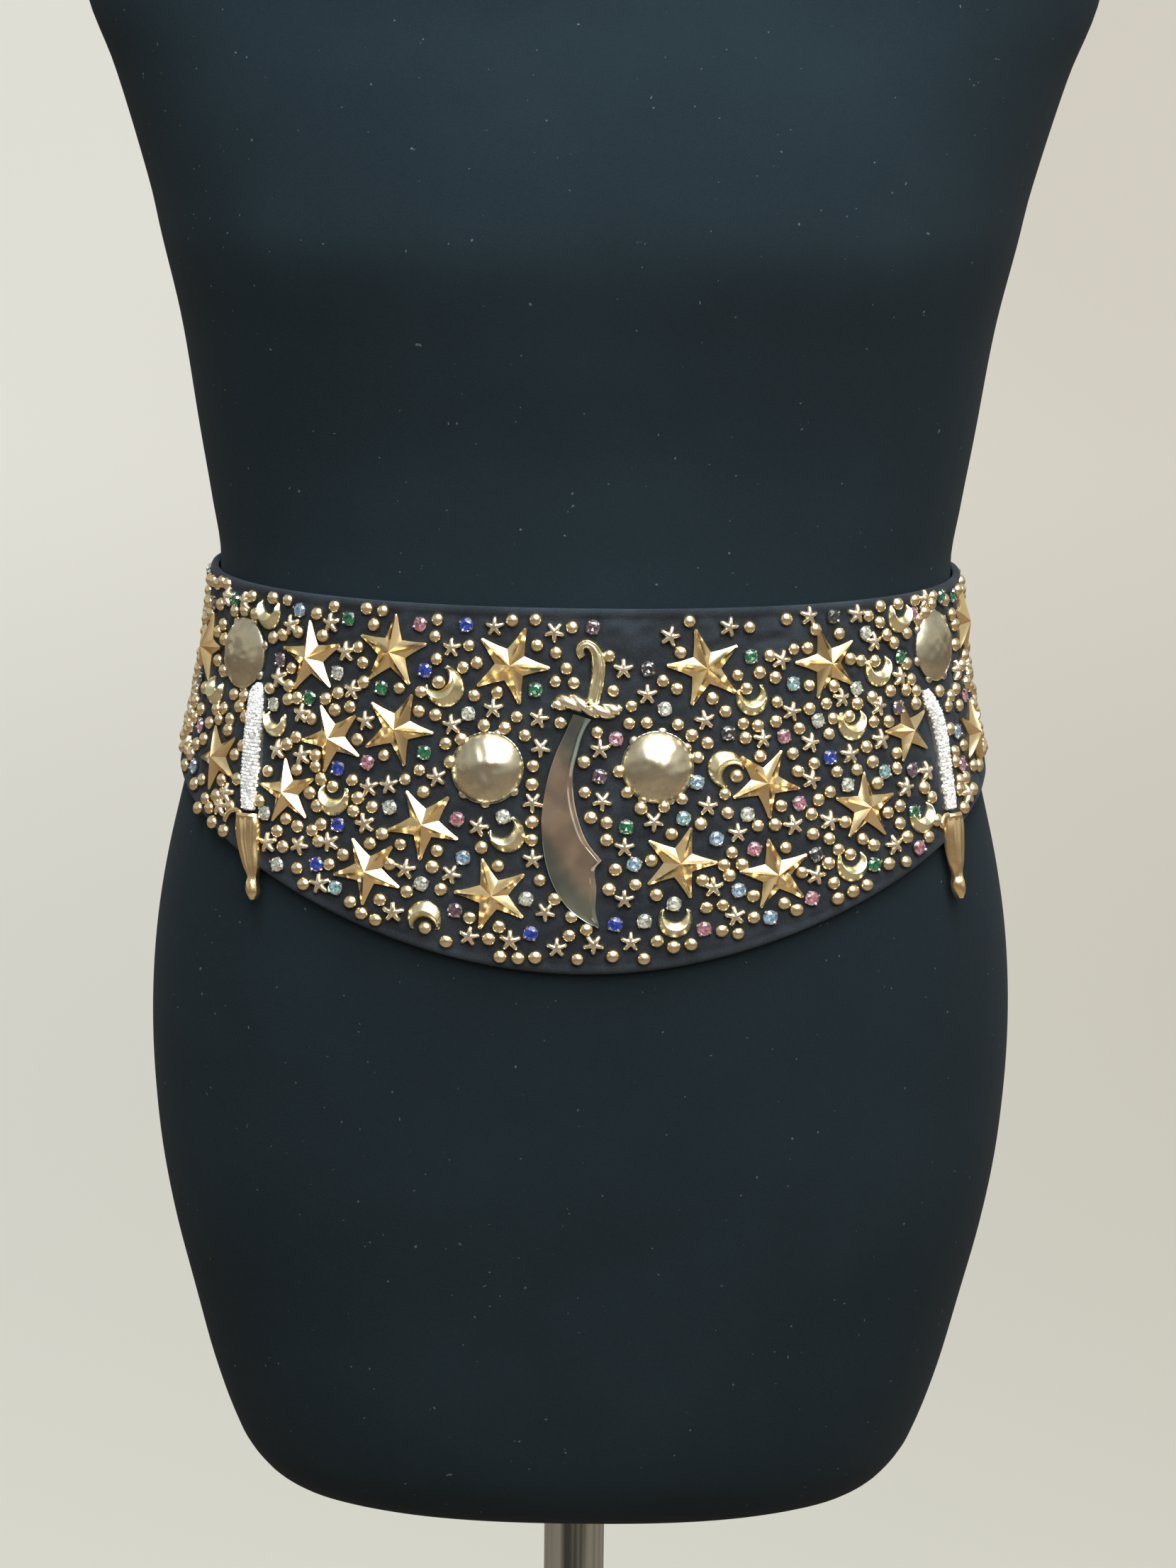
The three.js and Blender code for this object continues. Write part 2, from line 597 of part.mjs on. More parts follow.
add("dress_form", dressForm(), MATERIALS.jersey);
add("neck_cap", neckCap(), MATERIALS.chrome);
add("stand_pole", standPole(), MATERIALS.chrome);
add("stand_base", standBase(), MATERIALS.chrome);
add("belt_band", beltBand(), MATERIALS.cloth);
CAP_DOWNS.forEach((down, i) => {
  const cap = roundPiece(HALF_GIRTH + 1, down, CAP_RADIUS, CAP_PROFILE, 12);
  add(`press_stud_${i + 1}`, cap, MATERIALS.paleGold);
});
for (const { name, across, down } of DOMES) {
  const dome = roundPiece(across, down, DOME_RADIUS, DOME_PROFILE, DOME_SIDES);
  add(`dome_${name}`, dome, MATERIALS.paleGold);
}
add("sword_blade", bar(SWORD_BLADE), MATERIALS.paleGold);
add("sword_guard", bar(SWORD_GUARD), MATERIALS.gold);
add("sword_grip", bar(SWORD_GRIP), MATERIALS.gold);
// The daggers cross the belt's turned bottom edge, so they stand off the cloth by its roll
for (const { name, handle, sheath } of DAGGERS) {
  add(`dagger_${name}_handle`, bar(handle, ROLL), MATERIALS.silver);
  add(`dagger_${name}_sheath`, bar(sheath, ROLL), MATERIALS.gold);
}
for (const place of STARS) add(`star_${place.name}`, star(place), MATERIALS.gold);
for (const place of CRESCENTS) add(`crescent_${place.name}`, crescent(place), MATERIALS.gold);

export default group;
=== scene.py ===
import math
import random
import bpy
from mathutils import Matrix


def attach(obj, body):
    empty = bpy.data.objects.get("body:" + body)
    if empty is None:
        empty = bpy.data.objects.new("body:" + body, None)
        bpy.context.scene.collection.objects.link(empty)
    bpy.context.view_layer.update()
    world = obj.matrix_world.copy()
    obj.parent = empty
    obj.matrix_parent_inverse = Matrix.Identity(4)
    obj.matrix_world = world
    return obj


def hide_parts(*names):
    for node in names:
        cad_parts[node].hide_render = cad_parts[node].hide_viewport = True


bl_info = {
    "name": "Studded belt on a dress form",
    "version": (1, 0, 0),
    "blender": (4, 5, 0),
    "location": "3D View > Sidebar > Belt",
    "description": "Finishes a belt of napped cloth, its metal and stones, and its dress form",
    "category": "Add Mesh",
}

import bmesh
import bpy
import numpy as np
from mathutils import Matrix, Vector

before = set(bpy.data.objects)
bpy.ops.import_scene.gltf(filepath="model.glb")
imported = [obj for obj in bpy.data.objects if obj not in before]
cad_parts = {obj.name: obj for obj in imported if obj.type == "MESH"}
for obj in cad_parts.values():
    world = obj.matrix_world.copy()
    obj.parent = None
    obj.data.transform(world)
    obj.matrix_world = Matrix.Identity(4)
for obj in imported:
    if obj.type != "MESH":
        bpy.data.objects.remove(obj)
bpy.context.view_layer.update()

# Sizes on the belt are in millimetres, as the frame's maker gives them. Places on it are given as
# across, measured round it from the centre front towards +X, and down, from its top edge.
MM = 0.001

BELT_TOP = 1076.0
BACK_DEPTH = 79.0
FRONT_DEPTH = 142.5
DEEP_REACH = 225.0
DEEP_FULLNESS = 1.9
CLOTH = 2.6
FORM_GAP = 0.8
ROLL = 0.5
LAP = 30.0
LAP_STEP = CLOTH + ROLL + 0.4
LAP_RISE = 55.0         # the length on which the outer end climbs onto the inner one
LAP_LEVEL = 5.0         # how far before the lap it has climbed
SEAT = 0.45             # how far the solids of the metal stand off the cloth
SUNK = -0.3             # how far the finished metal is pressed into it

FORM_BOTTOM = 692.5
NECK_TOP = 1490.0
NECK_CAP_RADIUS = 54.0
NECK_CAP_THICKNESS = 14.0
NECK_CAP_GAP = 0.3
POLE_RADIUS = 12.5
POLE_BOTTOM = 6.3
POLE_TOP = 757.0
POLE_CLEARANCE = 0.3
BASE_RADIUS = 180.0
BASE_RISE = 8.0
HUB_RADIUS = 25.0
HUB_TOP = 36.0

# Sections through the dress form: height, half width, front and back depth, and squareness
FORM_ROWS = [
    (692.5, 112, 68, 64, 2.4),
    (696.5, 122, 77, 73, 2.4),
    (703.5, 130.5, 85, 81, 2.4),
    (716, 139, 92, 90, 2.4),
    (744, 149.5, 98, 99, 2.35),
    (777, 158.5, 102, 107, 2.3),
    (807, 166, 105, 114, 2.3),
    (837, 171.5, 108, 121, 2.25),
    (868, 174.5, 110, 125, 2.2),
    (898, 175, 112, 126, 2.2),
    (928, 173, 113.5, 122, 2.2),
    (957, 168.5, 114, 114, 2.2),
    (990, 161, 112.5, 104, 2.2),
    (1020, 154, 110, 96, 2.2),
    (1050, 149, 107.5, 91, 2.2),
    (1080, 147, 105, 89, 2.2),
    (1103, 150.5, 104, 90, 2.2),
    (1132, 155.5, 105, 93, 2.2),
    (1175, 162.5, 112, 99, 2.2),
    (1209, 170.5, 118, 103, 2.2),
    (1230, 175.5, 117, 105, 2.1),
    (1274, 189, 108, 108, 1.95),
    (1302, 200, 100, 109, 1.9),
    (1332, 204, 94, 109, 1.9),
    (1360, 199, 87, 106, 1.9),
    (1384, 183, 79, 99, 1.95),
    (1404, 154, 71, 90, 2),
    (1421, 117, 64, 80, 2),
    (1438, 84, 59, 70, 2),
    (1458, 64, 56, 62, 2),
    (1490, 57, 55, 57, 2),
]
FORM_Z, FORM_HALF, FORM_FRONT, FORM_BACK, FORM_SQUARE = np.array(FORM_ROWS, float).T

# Large stars: name, across, down, turn of one point from straight up, and size
LARGE_STARS = [
    ("a", -113.6, 25, -8, 1.03),
    ("b", -77.4, 19.3, 3, 1.03),
    ("c", -100.5, 55, -28, 0.96),
    ("d", -73.2, 49, 21, 1.03),
    ("e", -118, 78.3, -12, 0.92),
    ("f", -158.7, 71, -28, 0.93),
    ("g", -186, 31, 10, 1),
    ("h", -81.2, 104.8, -30, 0.96),
    ("i", -60.2, 85, -32, 1),
    ("j", -33.3, 111.2, -17, 1.01),
    ("k", -29, 22.2, 21, 1.08),
    ("l", 48, 22.8, -14, 1.08),
    ("m", 70.5, 68, 31, 0.98),
    ("n", 36.6, 98, 19, 1.01),
    ("o", 73.4, 103.7, -11, 0.99),
    ("p", 99.6, 23.2, -14, 1.01),
    ("q", 137.2, 53.6, -13, 0.89),
    ("r", 112, 80.7, 2, 0.96),
    ("s", 197, 19, 12, 0.95),
    ("t", 188, 63, 18, 0.96),
    ("back_1", -245, 31, -15, 1),
    ("back_2", -330, 52, 25, 1.02),
    ("back_3", 246, 47, 8, 0.98),
    ("back_4", 309, 26, -22, 1.02),
    ("back_5", 372, 54, 14, 1),
]
STAR_REACH = 14.3
STAR_WAIST = 0.43
STAR_HEIGHT = 4.6
STAR_HUB = 6.6          # the circle that its middle takes up
# Circles that an arm takes up: share of the star's reach, and radius
STAR_ARM = ((0.6, 2.7), (0.92, 1.4))

# Crescents: name, across, down, radius of the outer arc, and which way the opening looks
CRESCENTS = [
    ("1", -138.5, 10.2, 6.6, 0),
    ("2", -55, 31.8, 7.8, -45),
    ("3", -97.5, 78.5, 6.7, 3),
    ("4", -58.8, 121.3, 6.6, 180),
    ("5", -128.3, 52.5, 5.6, 0),
    ("6", -171, 46, 6.2, 8),
    ("7", -28.2, 88, 6.9, -34),
    ("8", 66.7, 35.6, 6.5, -10),
    ("9", 55.2, 62, 7.2, 135),
    ("10", 35.2, 121, 6.5, 0),
    ("11", 138, 8.6, 6.5, 4),
    ("12", 124.3, 28.3, 6.6, -5),
    ("13", 109.4, 48, 6.6, 0),
    ("14", 138.8, 88, 6.4, -14),
    ("15", 104.3, 102.8, 6.4, -4),
]
CRESCENT_HEIGHT = 3.4
CRESCENT_INNER = 0.63
CRESCENT_SHIFT = 0.64
CRESCENT_OUTER_TIP = 131
CRESCENT_INNER_TIP = 99
CRESCENT_SPREAD = 0.08

# Domes: name, across, down, and the directions of their lugs, in degrees from straight up
DOMES = [
    ("front_left", -36.8, 62.2, (16, 130, 181, 220, 281)),
    ("front_right", 28.7, 61, (8, 57, 112, 160, 205, 262, 318)),
    ("side_left", -152.5, 28, (20, 70, 122, 170, 228, 275, 326)),
    ("side_right", 160.5, 23, (2, 48, 101, 155, 207, 251, 305)),
]
DOME_RADIUS = 14.2
DOME_BEADS = 44         # on the rim of each
DOME_CROWNS = {"front": 7.2, "side": 5.0}

PRESS_STUD_DOWNS = (14, 39.5, 65)
PRESS_STUD_RADIUS = 6.0

# Bars of metal by stations along them: the left edge's across and down, the right edge's, and
# the height of the ridge
SWORD_BLADE = [
    (-4.3, 40.3, 3.2, 42.6, 1.6),
    (-5.8, 44, 1.7, 44.6, 1.8),
    (-7.5, 48, 0.1, 48, 1.9),
    (-10.5, 55, -1.8, 54.8, 2),
    (-13.2, 63.5, -3.5, 63, 2),
    (-15, 73, -3.3, 72, 2),
    (-15.7, 82, -1.4, 81, 2),
    (-15.1, 91, 2.2, 90, 2),
    (-13.9, 98, 7.6, 97, 2),
    (-12.6, 102.5, 5.4, 99.6, 2),
    (-9.2, 110, 5.7, 108, 2),
    (-4.4, 116.5, 5.5, 115.5, 1.8),
    (1.2, 120.8, 6.2, 119.8, 1.5),
    (6.2, 123.4, 6.8, 123.2, 1),
]
SWORD_BARB = 8          # the blade's row where its back juts out
SWORD_GUARD = [
    (-12.9, 36.4, -12.5, 38.2, 1.6),
    (-11.4, 34.2, -11.2, 39.1, 3),
    (-8, 32.5, -8.2, 39.4, 3.8),
    (-3.5, 32.7, -4, 39.4, 4.2),
    (1, 34.2, 0.2, 40.8, 4.4),
    (5.4, 35.6, 4.6, 42.2, 4.2),
    (10, 36, 9.4, 42.6, 3.8),
    (13.4, 36.2, 13.2, 41.6, 3),
    (15, 37.4, 14.8, 39.6, 1.6),
]
SWORD_GRIP = [
    (0.9, 35.6, 6.1, 36.9, 2.6),
    (1.8, 30, 7.7, 30.6, 3),
    (2.6, 25, 8.6, 25.2, 3.2),
    (2.6, 21, 8.6, 20.4, 3.2),
    (2.2, 17.6, 7.2, 15.8, 3.2),
    (1.3, 15.7, 4.2, 12.4, 3.2),
    (0.4, 15.6, 0.5, 11.2, 3.2),
    (0, 16, -3, 13.4, 3),
    (0.2, 16.7, -3.5, 17.1, 2.8),
    (0.5, 17.6, -2.2, 19.5, 2.2),
]
DAGGER_HANDLES = {
    "left": [
        (-139.8, 38.2, -137.6, 38, 1.8),
        (-142.2, 41.4, -136.6, 41, 2.8),
        (-142.9, 46, -135.4, 45.6, 3.2),
        (-142.8, 52, -134.8, 51.6, 3.4),
        (-142.2, 61, -134.1, 60.8, 3.5),
        (-141, 71, -132.8, 71, 3.5),
        (-139.3, 80.4, -132.1, 80.4, 3.4),
        (-137.4, 87.6, -131.8, 87.6, 3),
    ],
    "right": [
        (147.4, 39, 150.2, 38.6, 1.8),
        (148.2, 44.4, 154.4, 43.6, 2.8),
        (151.2, 53, 157.8, 52.4, 3.4),
        (152.2, 61, 158.4, 60.6, 3.5),
        (151.8, 71, 157.6, 70.8, 3.5),
        (151.6, 80.4, 157.2, 80.4, 3.4),
        (151.7, 87.2, 156.4, 87.4, 3),
    ],
}
DAGGER_SHEATHS = {
    "left": [
        (-141, 89.2, -130, 88.6, 3.8),
        (-140.9, 92, -129, 91.4, 4),
        (-138.9, 100, -128.2, 99.6, 3.6),
        (-134.1, 109.2, -126.8, 108.8, 3),
        (-131.1, 113.8, -126.8, 113.6, 2.6),
        (-131.5, 115.8, -126.3, 115.6, 3),
        (-131, 119.2, -125.8, 119, 3),
        (-128.8, 121.8, -126.8, 121.7, 2),
    ],
    "right": [
        (150.6, 88.5, 160, 89, 3.8),
        (150, 92, 160.8, 92.4, 4),
        (149.7, 100, 159.6, 100.4, 3.6),
        (150.4, 107.6, 157.6, 108, 3),
        (151.4, 113.6, 155.4, 113.8, 2.6),
        (150.6, 115.6, 156, 115.8, 3),
        (151, 119.4, 155.7, 119.6, 3),
        (152.4, 122.2, 154.2, 122.3, 2),
    ],
}
# The curl at the mouth of each sheath: points of its middle line, as across and down
SHEATH_CURLS = {
    "left": [(-137.6, 89.4), (-141.2, 88.6), (-144.3, 90.4), (-146, 94)],
    "right": [(152.2, 89.2), (149.4, 89.2), (147.4, 91.2), (147.2, 93.8)],
}

# The tiny stones of the handles: how far apart they are, and their radius
PAVE_STEP = 1.45
PAVE_RADIUS = 0.8

# Nailheads: across and down
NAILHEADS = [
    (-29, 5), (-19.7, 4.4), (-5, 7), (-18.8, 14.3), (-11.2, 17), (-7, 23), (-11.4, 28), (-4, 28.5),
    (-45.9, 15.2), (-42.4, 21.7), (-34, 32.9), (-43, 34.4), (-26, 42), (-9, 44), (-38.8, 45.7),
    (-30.5, 46.4), (-22.7, 49.2), (-19.2, 61), (11.6, 31.4), (9.9, 18), (5.3, 47.4), (0.3, 59),
    (-19.3, 68), (-19, 82.5), (-19, 89.5), (-15.7, 105), (-10, 112.3), (-3.7, 119), (2, 124),
    (-4.5, 126.5), (-1.3, 136), (-17, 135.5), (-23.5, 136), (-30.3, 135.5), (-34.5, 128.7),
    (-30.7, 123.7), (-31.5, 100), (-38, 93), (-41.8, 120.7), (0.8, 70.7), (3.1, 80.4),
    (9.3, 82.3), (9.2, 89), (12.6, 100.6), (10.3, 108.2), (12, 134.6), (42, 4.7), (38, 16.6),
    (66.6, 7.6), (31, 27.5), (36.5, 30.6), (18.6, 37.3), (17.7, 44), (24.6, 43.6), (36.7, 44.4),
    (42, 48.7), (48.2, 51.8), (50.6, 34.6), (55.6, 39.8), (62.6, 44.8), (68.6, 45.8),
    (63.2, 50.4), (69, 57.6), (44.3, 57.3), (64.3, 31.2), (61, 26), (70, 25.2), (74.5, 18.8),
    (13.8, 62.5), (17, 70.7), (22.2, 76.8), (31, 76.3), (37.8, 73.3), (33.7, 86.8), (45, 83),
    (54.5, 71.8), (55.3, 79), (66.9, 84.5), (56.7, 94.4), (26, 97), (20.1, 106.3), (28, 110.4),
    (45.3, 105), (53.5, 99.3), (60.5, 99.3), (55.5, 103.4), (64.6, 111.8), (53, 115),
    (46.8, 115.8), (64.8, 120.2), (52.7, 125), (59, 126.3), (28.5, 128.6), (34.7, 131),
    (41.2, 130), (23.7, 135.6), (59.3, 65),
    (-104.5, 3.7), (-89.8, 3.3), (-82.7, 3.7), (-86.2, 9.3), (-59.4, 5.7), (-60, 12.3),
    (-59, 20.9), (-48, 23.7), (-92.3, 18.6), (-89.7, 24.5), (-109, 15.7), (-88.7, 32),
    (-73.5, 33.2), (-64.5, 34), (-57.5, 29.8), (-64.8, 41.6), (-58, 42.7), (-53.5, 53.5),
    (-47.3, 51.5), (-105, 40), (-99.7, 37.2), (-100.4, 44), (-93.8, 42.2), (-89.5, 54.5),
    (-78, 59.6), (-90.2, 70.3), (-63.3, 64.3), (-68.7, 68.3), (-51.3, 60.5), (-61, 72.7),
    (-103.5, 71.5), (-98, 73.7), (-87, 77), (-81, 80), (-88.5, 82.3), (-76.3, 90),
    (-101.4, 88.7), (-81, 94.2), (-69, 93.6), (-54.8, 95), (-91.3, 99.6), (-96.8, 103.8),
    (-72.8, 101.7), (-56.3, 101.5), (-65.7, 111.7), (-52.7, 110), (-87.5, 117.5), (-76, 115.7),
    (-83, 121.7), (-77.5, 123.8), (-58.5, 125.5), (-50.5, 130.5), (-117, 56.5), (-120.8, 59.8),
    (-128.5, 71.5), (-114.7, 69), (-106.5, 67), (-107, 62.5), (-110.7, 48.5), (-130.6, 83.5),
    (-107.7, 77.3), (-104, 82), (-117, 88.5), (-111.5, 90.7), (-120.3, 93.8), (-105, 91.5),
    (-101.8, 95.5), (-117, 99.5), (-110, 107), (-106.8, 112.7),
    (-155.4, 59.5), (-163.4, 56.5), (-155.1, 55), (-145.6, 52.5), (-144.6, 63.8), (-148.1, 68),
    (-153.4, 79), (-144.1, 77), (-155.1, 85.5), (-162.1, 88), (-145.6, 88), (-158.1, 91), (-166.1, 92.5),
    (-154.6, 96), (-147.1, 98), (-128.1, 3.7), (-112.7, 7.3), (-136.6, 3.7), (-149.9, 4.8),
    (-146.7, 11.7), (-121.3, 15.7), (-134.5, 19.5), (-129.3, 17.8), (-123, 30), (-123.4, 37),
    (-133.4, 39.5), (-123, 42.3), (-118.5, 41.3), (-170.9, 3), (-176.6, 3), (-171.6, 19.5),
    (-162.1, 12.5), (-154.6, 11.5), (-169.1, 25), (-166.1, 37.5), (-155.1, 45), (-148.1, 44.5),
    (-150.1, 49), (-160.8, 51.5), (-167.1, 53),
    (82.3, 5), (120.5, 6.4), (127, 3), (126.3, 9.4), (137, 3), (129.6, 14.8), (133.5, 18.3),
    (95, 9.8), (105.8, 12.1), (85, 16.9), (91, 16.8), (110.3, 22.5), (115.5, 23.5), (76.5, 27.5),
    (90.8, 31.3), (102, 32.4), (122.5, 24.3), (119.7, 38.3), (129.4, 36.9), (112.2, 40.1),
    (98, 39), (90.4, 40.4), (77, 37), (76, 44.5), (85.5, 47.8), (100.5, 45), (98.3, 50.7),
    (108, 44.7), (119.5, 48), (127, 48.6), (114.7, 57.3), (82.3, 57.3), (91, 61.7), (100.5, 65.8),
    (109.4, 65.8), (117, 63.5), (129.4, 61.4), (128.5, 67.3), (84, 64.3), (97, 73.3), (91.8, 76),
    (76.5, 77.3), (88.5, 81.3), (102.3, 85.5), (73.7, 84.5), (118.3, 72), (121.7, 83.8),
    (127.8, 82), (127, 88.6), (88.7, 89), (95.3, 91.3), (77.7, 93.5), (109.5, 92.7), (114, 95.7),
    (98.8, 96), (103.7, 98.2), (94.3, 100.8), (120, 103.7), (83.7, 103.7), (96.3, 108.8),
    (110, 110.8), (104, 112.8), (97.7, 115), (76.5, 115.3), (81.3, 118.2), (141.6, 76.7),
    (145.2, 81), (129.7, 94.4), (140.7, 96), (128.2, 103.8), (146.3, 90.3),
    (147.7, 3), (161.2, 3), (154.2, 8.7), (159.7, 6), (149.2, 11), (141.5, 15.5), (139.8, 27.3),
    (142, 33.8), (138.1, 37.7), (144.3, 38.7), (143.1, 43.6), (172.2, 6), (169.2, 44.5),
    (165.7, 48), (160.2, 41), (176.7, 49.5), (164.7, 57), (165.7, 66), (164.7, 70), (165.7, 77.5),
    (170.7, 77.5), (163.7, 81), (175.7, 83), (165.2, 88.5), (187.7, 76),
]

# Small stars: across, down, and the turn of one point from straight up
SMALL_STARS = [
    (-36, 7.6, 0), (-12, 9, 36), (-35.3, 39, 0), (-17.3, 42.4, 12), (-16.4, 53.7, 36),
    (15.5, 23, 0), (6.4, 54, 0), (-39.3, 85, 15), (-19, 75, 36), (-18.5, 97, 0),
    (-13.5, 117.5, 36), (-9, 131.5, 0), (4.7, 130, 36), (-42, 128, 10), (-26.5, 129, 0),
    (7.5, 74, 36), (16, 92, 0), (16, 112.3, 0), (34, 10.4, 15), (58, 7.3, 15), (24.8, 32.8, 0),
    (47.3, 43, -10), (70.3, 51, 0), (27, 82, 36), (47.7, 76.3, 5), (59, 87, 0), (49.3, 107.8, 0),
    (57.7, 119.3, -10), (18.6, 128.8, 0),
    (-105.5, 10.4, -5), (-53, 16.3, 0), (-97.5, 21, -5), (-93.3, 35.5, 5), (-51.3, 46, -10),
    (-86.5, 47, -10), (-56.3, 66.7, -15), (-83, 72.5, -10), (-75, 71, -10), (-83.5, 86.7, -15),
    (-97.3, 95.3, -20), (-66.5, 103, 5), (-49, 104, 25), (-100, 111.8, -10), (-70.7, 120.3, 0),
    (-124.9, 62.5, -10), (-113, 63.3, -15), (-115.5, 47, 0), (-123.9, 99, -10), (-110, 98, 20),
    (-149.1, 83.5, 0), (-151.1, 89, 0), (-154.6, 7.6, 0), (-124.9, 13.3, -15), (-128.9, 34.5, -15),
    (-169.6, 8, 0),
    (92.2, 4.3, 5), (114.5, 5.2, 5), (122.5, 16.8, 0), (79.3, 20.8, 20), (122.5, 42.3, 15),
    (105, 37.3, 0), (82.7, 41, 15), (90, 53.5, 15), (122, 55.3, 5), (106.7, 59.5, 0),
    (89.3, 68, 15), (81, 85, -10), (95.7, 84.3, 15), (123.3, 96.7, -10), (89.2, 105.2, 15),
    (144, 70.8, 0), (131.7, 75.3, 15), (169.7, 84, 0), (154.2, 3.5, 0), (135.2, 32, 10), (179.7, 36, 0),
]

# Stones by colour: across and down
STONES = {
    "blue": [(-47.5, 7.3), (-63.3, 25.7), (-96.7, 66.5), (-94.5, 88.2), (-102, 104.5),
             (-18.8, 126), (12.7, 122), (98, 60)],
    "pale_blue": [(-121.3, 7), (-44.7, 97.3), (43.8, 67), (50.8, 89), (19.6, 98.5), (59, 109.3),
                  (71, 120.5), (170.2, 59), (-177.1, 78)],
    "aqua": [(38.3, 80.8), (84, 30.3), (122.3, 68), (-93.7, 112.7)],
    "green": [(-97.5, 8), (-19, 31.5), (-81, 33.7), (-61.8, 57.5), (66.7, 19), (16.6, 84),
              (-112.7, 40.5), (113.7, 103.3), (134.6, 85.3), (136.4, 24.3), (168.2, 4),
              (-162.1, 8)],
    "pink": [(-66.5, 8), (12.6, 50), (-84.5, 63), (-47.5, 82.5), (65.3, 93.5), (46, 124),
             (79, 50.5), (83.8, 76.8), (87.3, 114), (135.1, 99.3), (145.6, 8.2), (169.2, 72),
             (184.7, 47), (-179.1, 62)],
    "mauve": [(3.3, 7), (6.4, 64.5), (-129.1, 27.5), (-47.3, 118), (132.6, 44), (136.5, 69),
              (-185.1, 13), (-193.1, 46)],
    "smoke": [(25.2, 23), (56.5, 48.3), (103.4, 5.3), (89.7, 97)],
    "clear": [(-100.7, 29.5), (-45, 41.5), (-30, 80.8), (-20.7, 112.5), (-74, 79.6),
              (-60.3, 108.3), (-130.2, 45.3), (-127.2, 87.8), (-118.7, 106.7), (31.6, 38.4),
              (63, 80), (23.6, 120.7), (34.6, 114), (118.5, 13), (112.3, 34.3), (93.8, 45.3),
              (104.7, 71.3)],
}

# The main creases of the cloth: across, down, length, lean in degrees, half width, and depth
CREASES = [
    (74, 13, 30, 4, 1.5, 0.7),
    (52, 14.5, 16, -8, 1.2, 0.6),
    (22, 26, 40, 3, 1.8, 0.65),
    (-12, 48, 22, -5, 1.3, 0.6),
    (91, 92.5, 15, 12, 1.2, 0.4),
    (-66, 30, 20, 14, 1.4, 0.35),
    (-84, 66, 14, -12, 1.2, 0.3),
    (10, 93, 16, 6, 1.4, 0.4),
    (-48, 74, 12, 20, 1.2, 0.35),
    (30, 105, 18, -10, 1.5, 0.35),
    (-8, 102, 15, 8, 1.3, 0.35),
    (-24, 118, 18, 4, 1.5, 0.4),
    (66, 98, 16, -14, 1.2, 0.35),
    (104, 30, 14, 10, 1.3, 0.35),
    (-104, 84, 18, -8, 1.4, 0.4),
    (-118, 32, 16, 16, 1.3, 0.35),
    (126, 76, 18, -20, 1.4, 0.4),
    (-140, 56, 15, -24, 1.3, 0.35),
    (8, 12, 26, 2, 2.2, 0.35),
]
HIDDEN_CREASES = 22

# Puckers of the cloth between the metal: height and wavelength of broad and of fine ones
BROAD_PUFF = (0.36, 17)
FINE_PUFF = (0.34, 5.5)
PUFF = 0.25             # how far the cloth stands out between the metal
PRESSED = 0.45          # how far the metal presses it in
PRESS_REACH = 1.1       # how far from the metal's rim it still does

# The fill of the hidden sides, beyond the listed pieces
SEEN_REACH = 160
FILL_SEED = 7
FILL_CLEARANCE = 0.9
FILL_SHARE = 1 / 74     # small pieces on each square millimetre of cloth
FILL_TRIES = 60         # tries for each piece
FILL_MIX = {"nailhead": 64, "small_star": 19, "stone": 17}
TONE_SEED = 21


# The form and the belt as surfaces

def smooth_column(values, height):
    """A column of FORM_ROWS at some heights, on a smooth curve through the rows."""
    slopes = np.gradient(values)
    slopes[1:-1] = (values[2:] - values[:-2]) / (FORM_Z[2:] - FORM_Z[:-2])
    slopes[0] = (values[1] - values[0]) / (FORM_Z[1] - FORM_Z[0])
    slopes[-1] = (values[-1] - values[-2]) / (FORM_Z[-1] - FORM_Z[-2])
    row = np.clip(np.searchsorted(FORM_Z, height) - 1, 0, len(FORM_Z) - 2)
    step = FORM_Z[row + 1] - FORM_Z[row]
    u = (height - FORM_Z[row]) / step
    from_below = (1 + 2 * u) * values[row] + u * step * slopes[row]
    from_above = (3 - 2 * u) * values[row + 1] - (1 - u) * step * slopes[row + 1]
    return (1 - u) ** 2 * from_below + u * u * from_above


def form_point(angle, height):
    """Points of the dress form's surface. The angle is 0 at the centre front."""
    angle, height = np.broadcast_arrays(np.asarray(angle, float), np.asarray(height, float))
    sine, cosine = np.sin(angle), np.cos(angle)
    depth = np.where(cosine > 0, smooth_column(FORM_FRONT, height), smooth_column(FORM_BACK, height))
    square = smooth_column(FORM_SQUARE, height)
    side = np.abs(sine / smooth_column(FORM_HALF, height)) ** square
    ahead = np.abs(cosine / depth) ** square
    reach = (side + ahead) ** (-1 / square)
    return np.stack([reach * sine, -reach * cosine, height], axis=-1)


def out_from_form(angle, height, distance):
    """Points moved out from the dress form's surface, square to it."""
    around = form_point(angle + 0.001, height) - form_point(angle - 0.001, height)
    up = form_point(angle, height + 0.5) - form_point(angle, height - 0.5)
    outward = np.cross(around, up)
    outward /= np.linalg.norm(outward, axis=-1, keepdims=True)
    return form_point(angle, height) + outward * np.asarray(distance, float)[..., None]


RULER_HEIGHT = 1020.0
RULER_ANGLES = np.linspace(0, math.pi, 1801)
RULER_POINTS = out_from_form(RULER_ANGLES, RULER_HEIGHT + 0 * RULER_ANGLES, FORM_GAP + CLOTH)
RULER_STEPS = np.linalg.norm(np.diff(RULER_POINTS, axis=0), axis=1)
RULER_LENGTHS = np.concatenate([[0], np.cumsum(RULER_STEPS)])
HALF_GIRTH = float(RULER_LENGTHS[-1])
BELT_REACH = HALF_GIRTH + LAP / 2


def angle_at(across):
    """The angle round the form of places on the belt."""
    beyond = np.abs(across) > HALF_GIRTH
    length = np.where(beyond, 2 * HALF_GIRTH - np.abs(across), np.abs(across))
    angle = np.interp(length, RULER_LENGTHS, RULER_ANGLES)
    return np.sign(across) * np.where(beyond, 2 * math.pi - angle, angle)


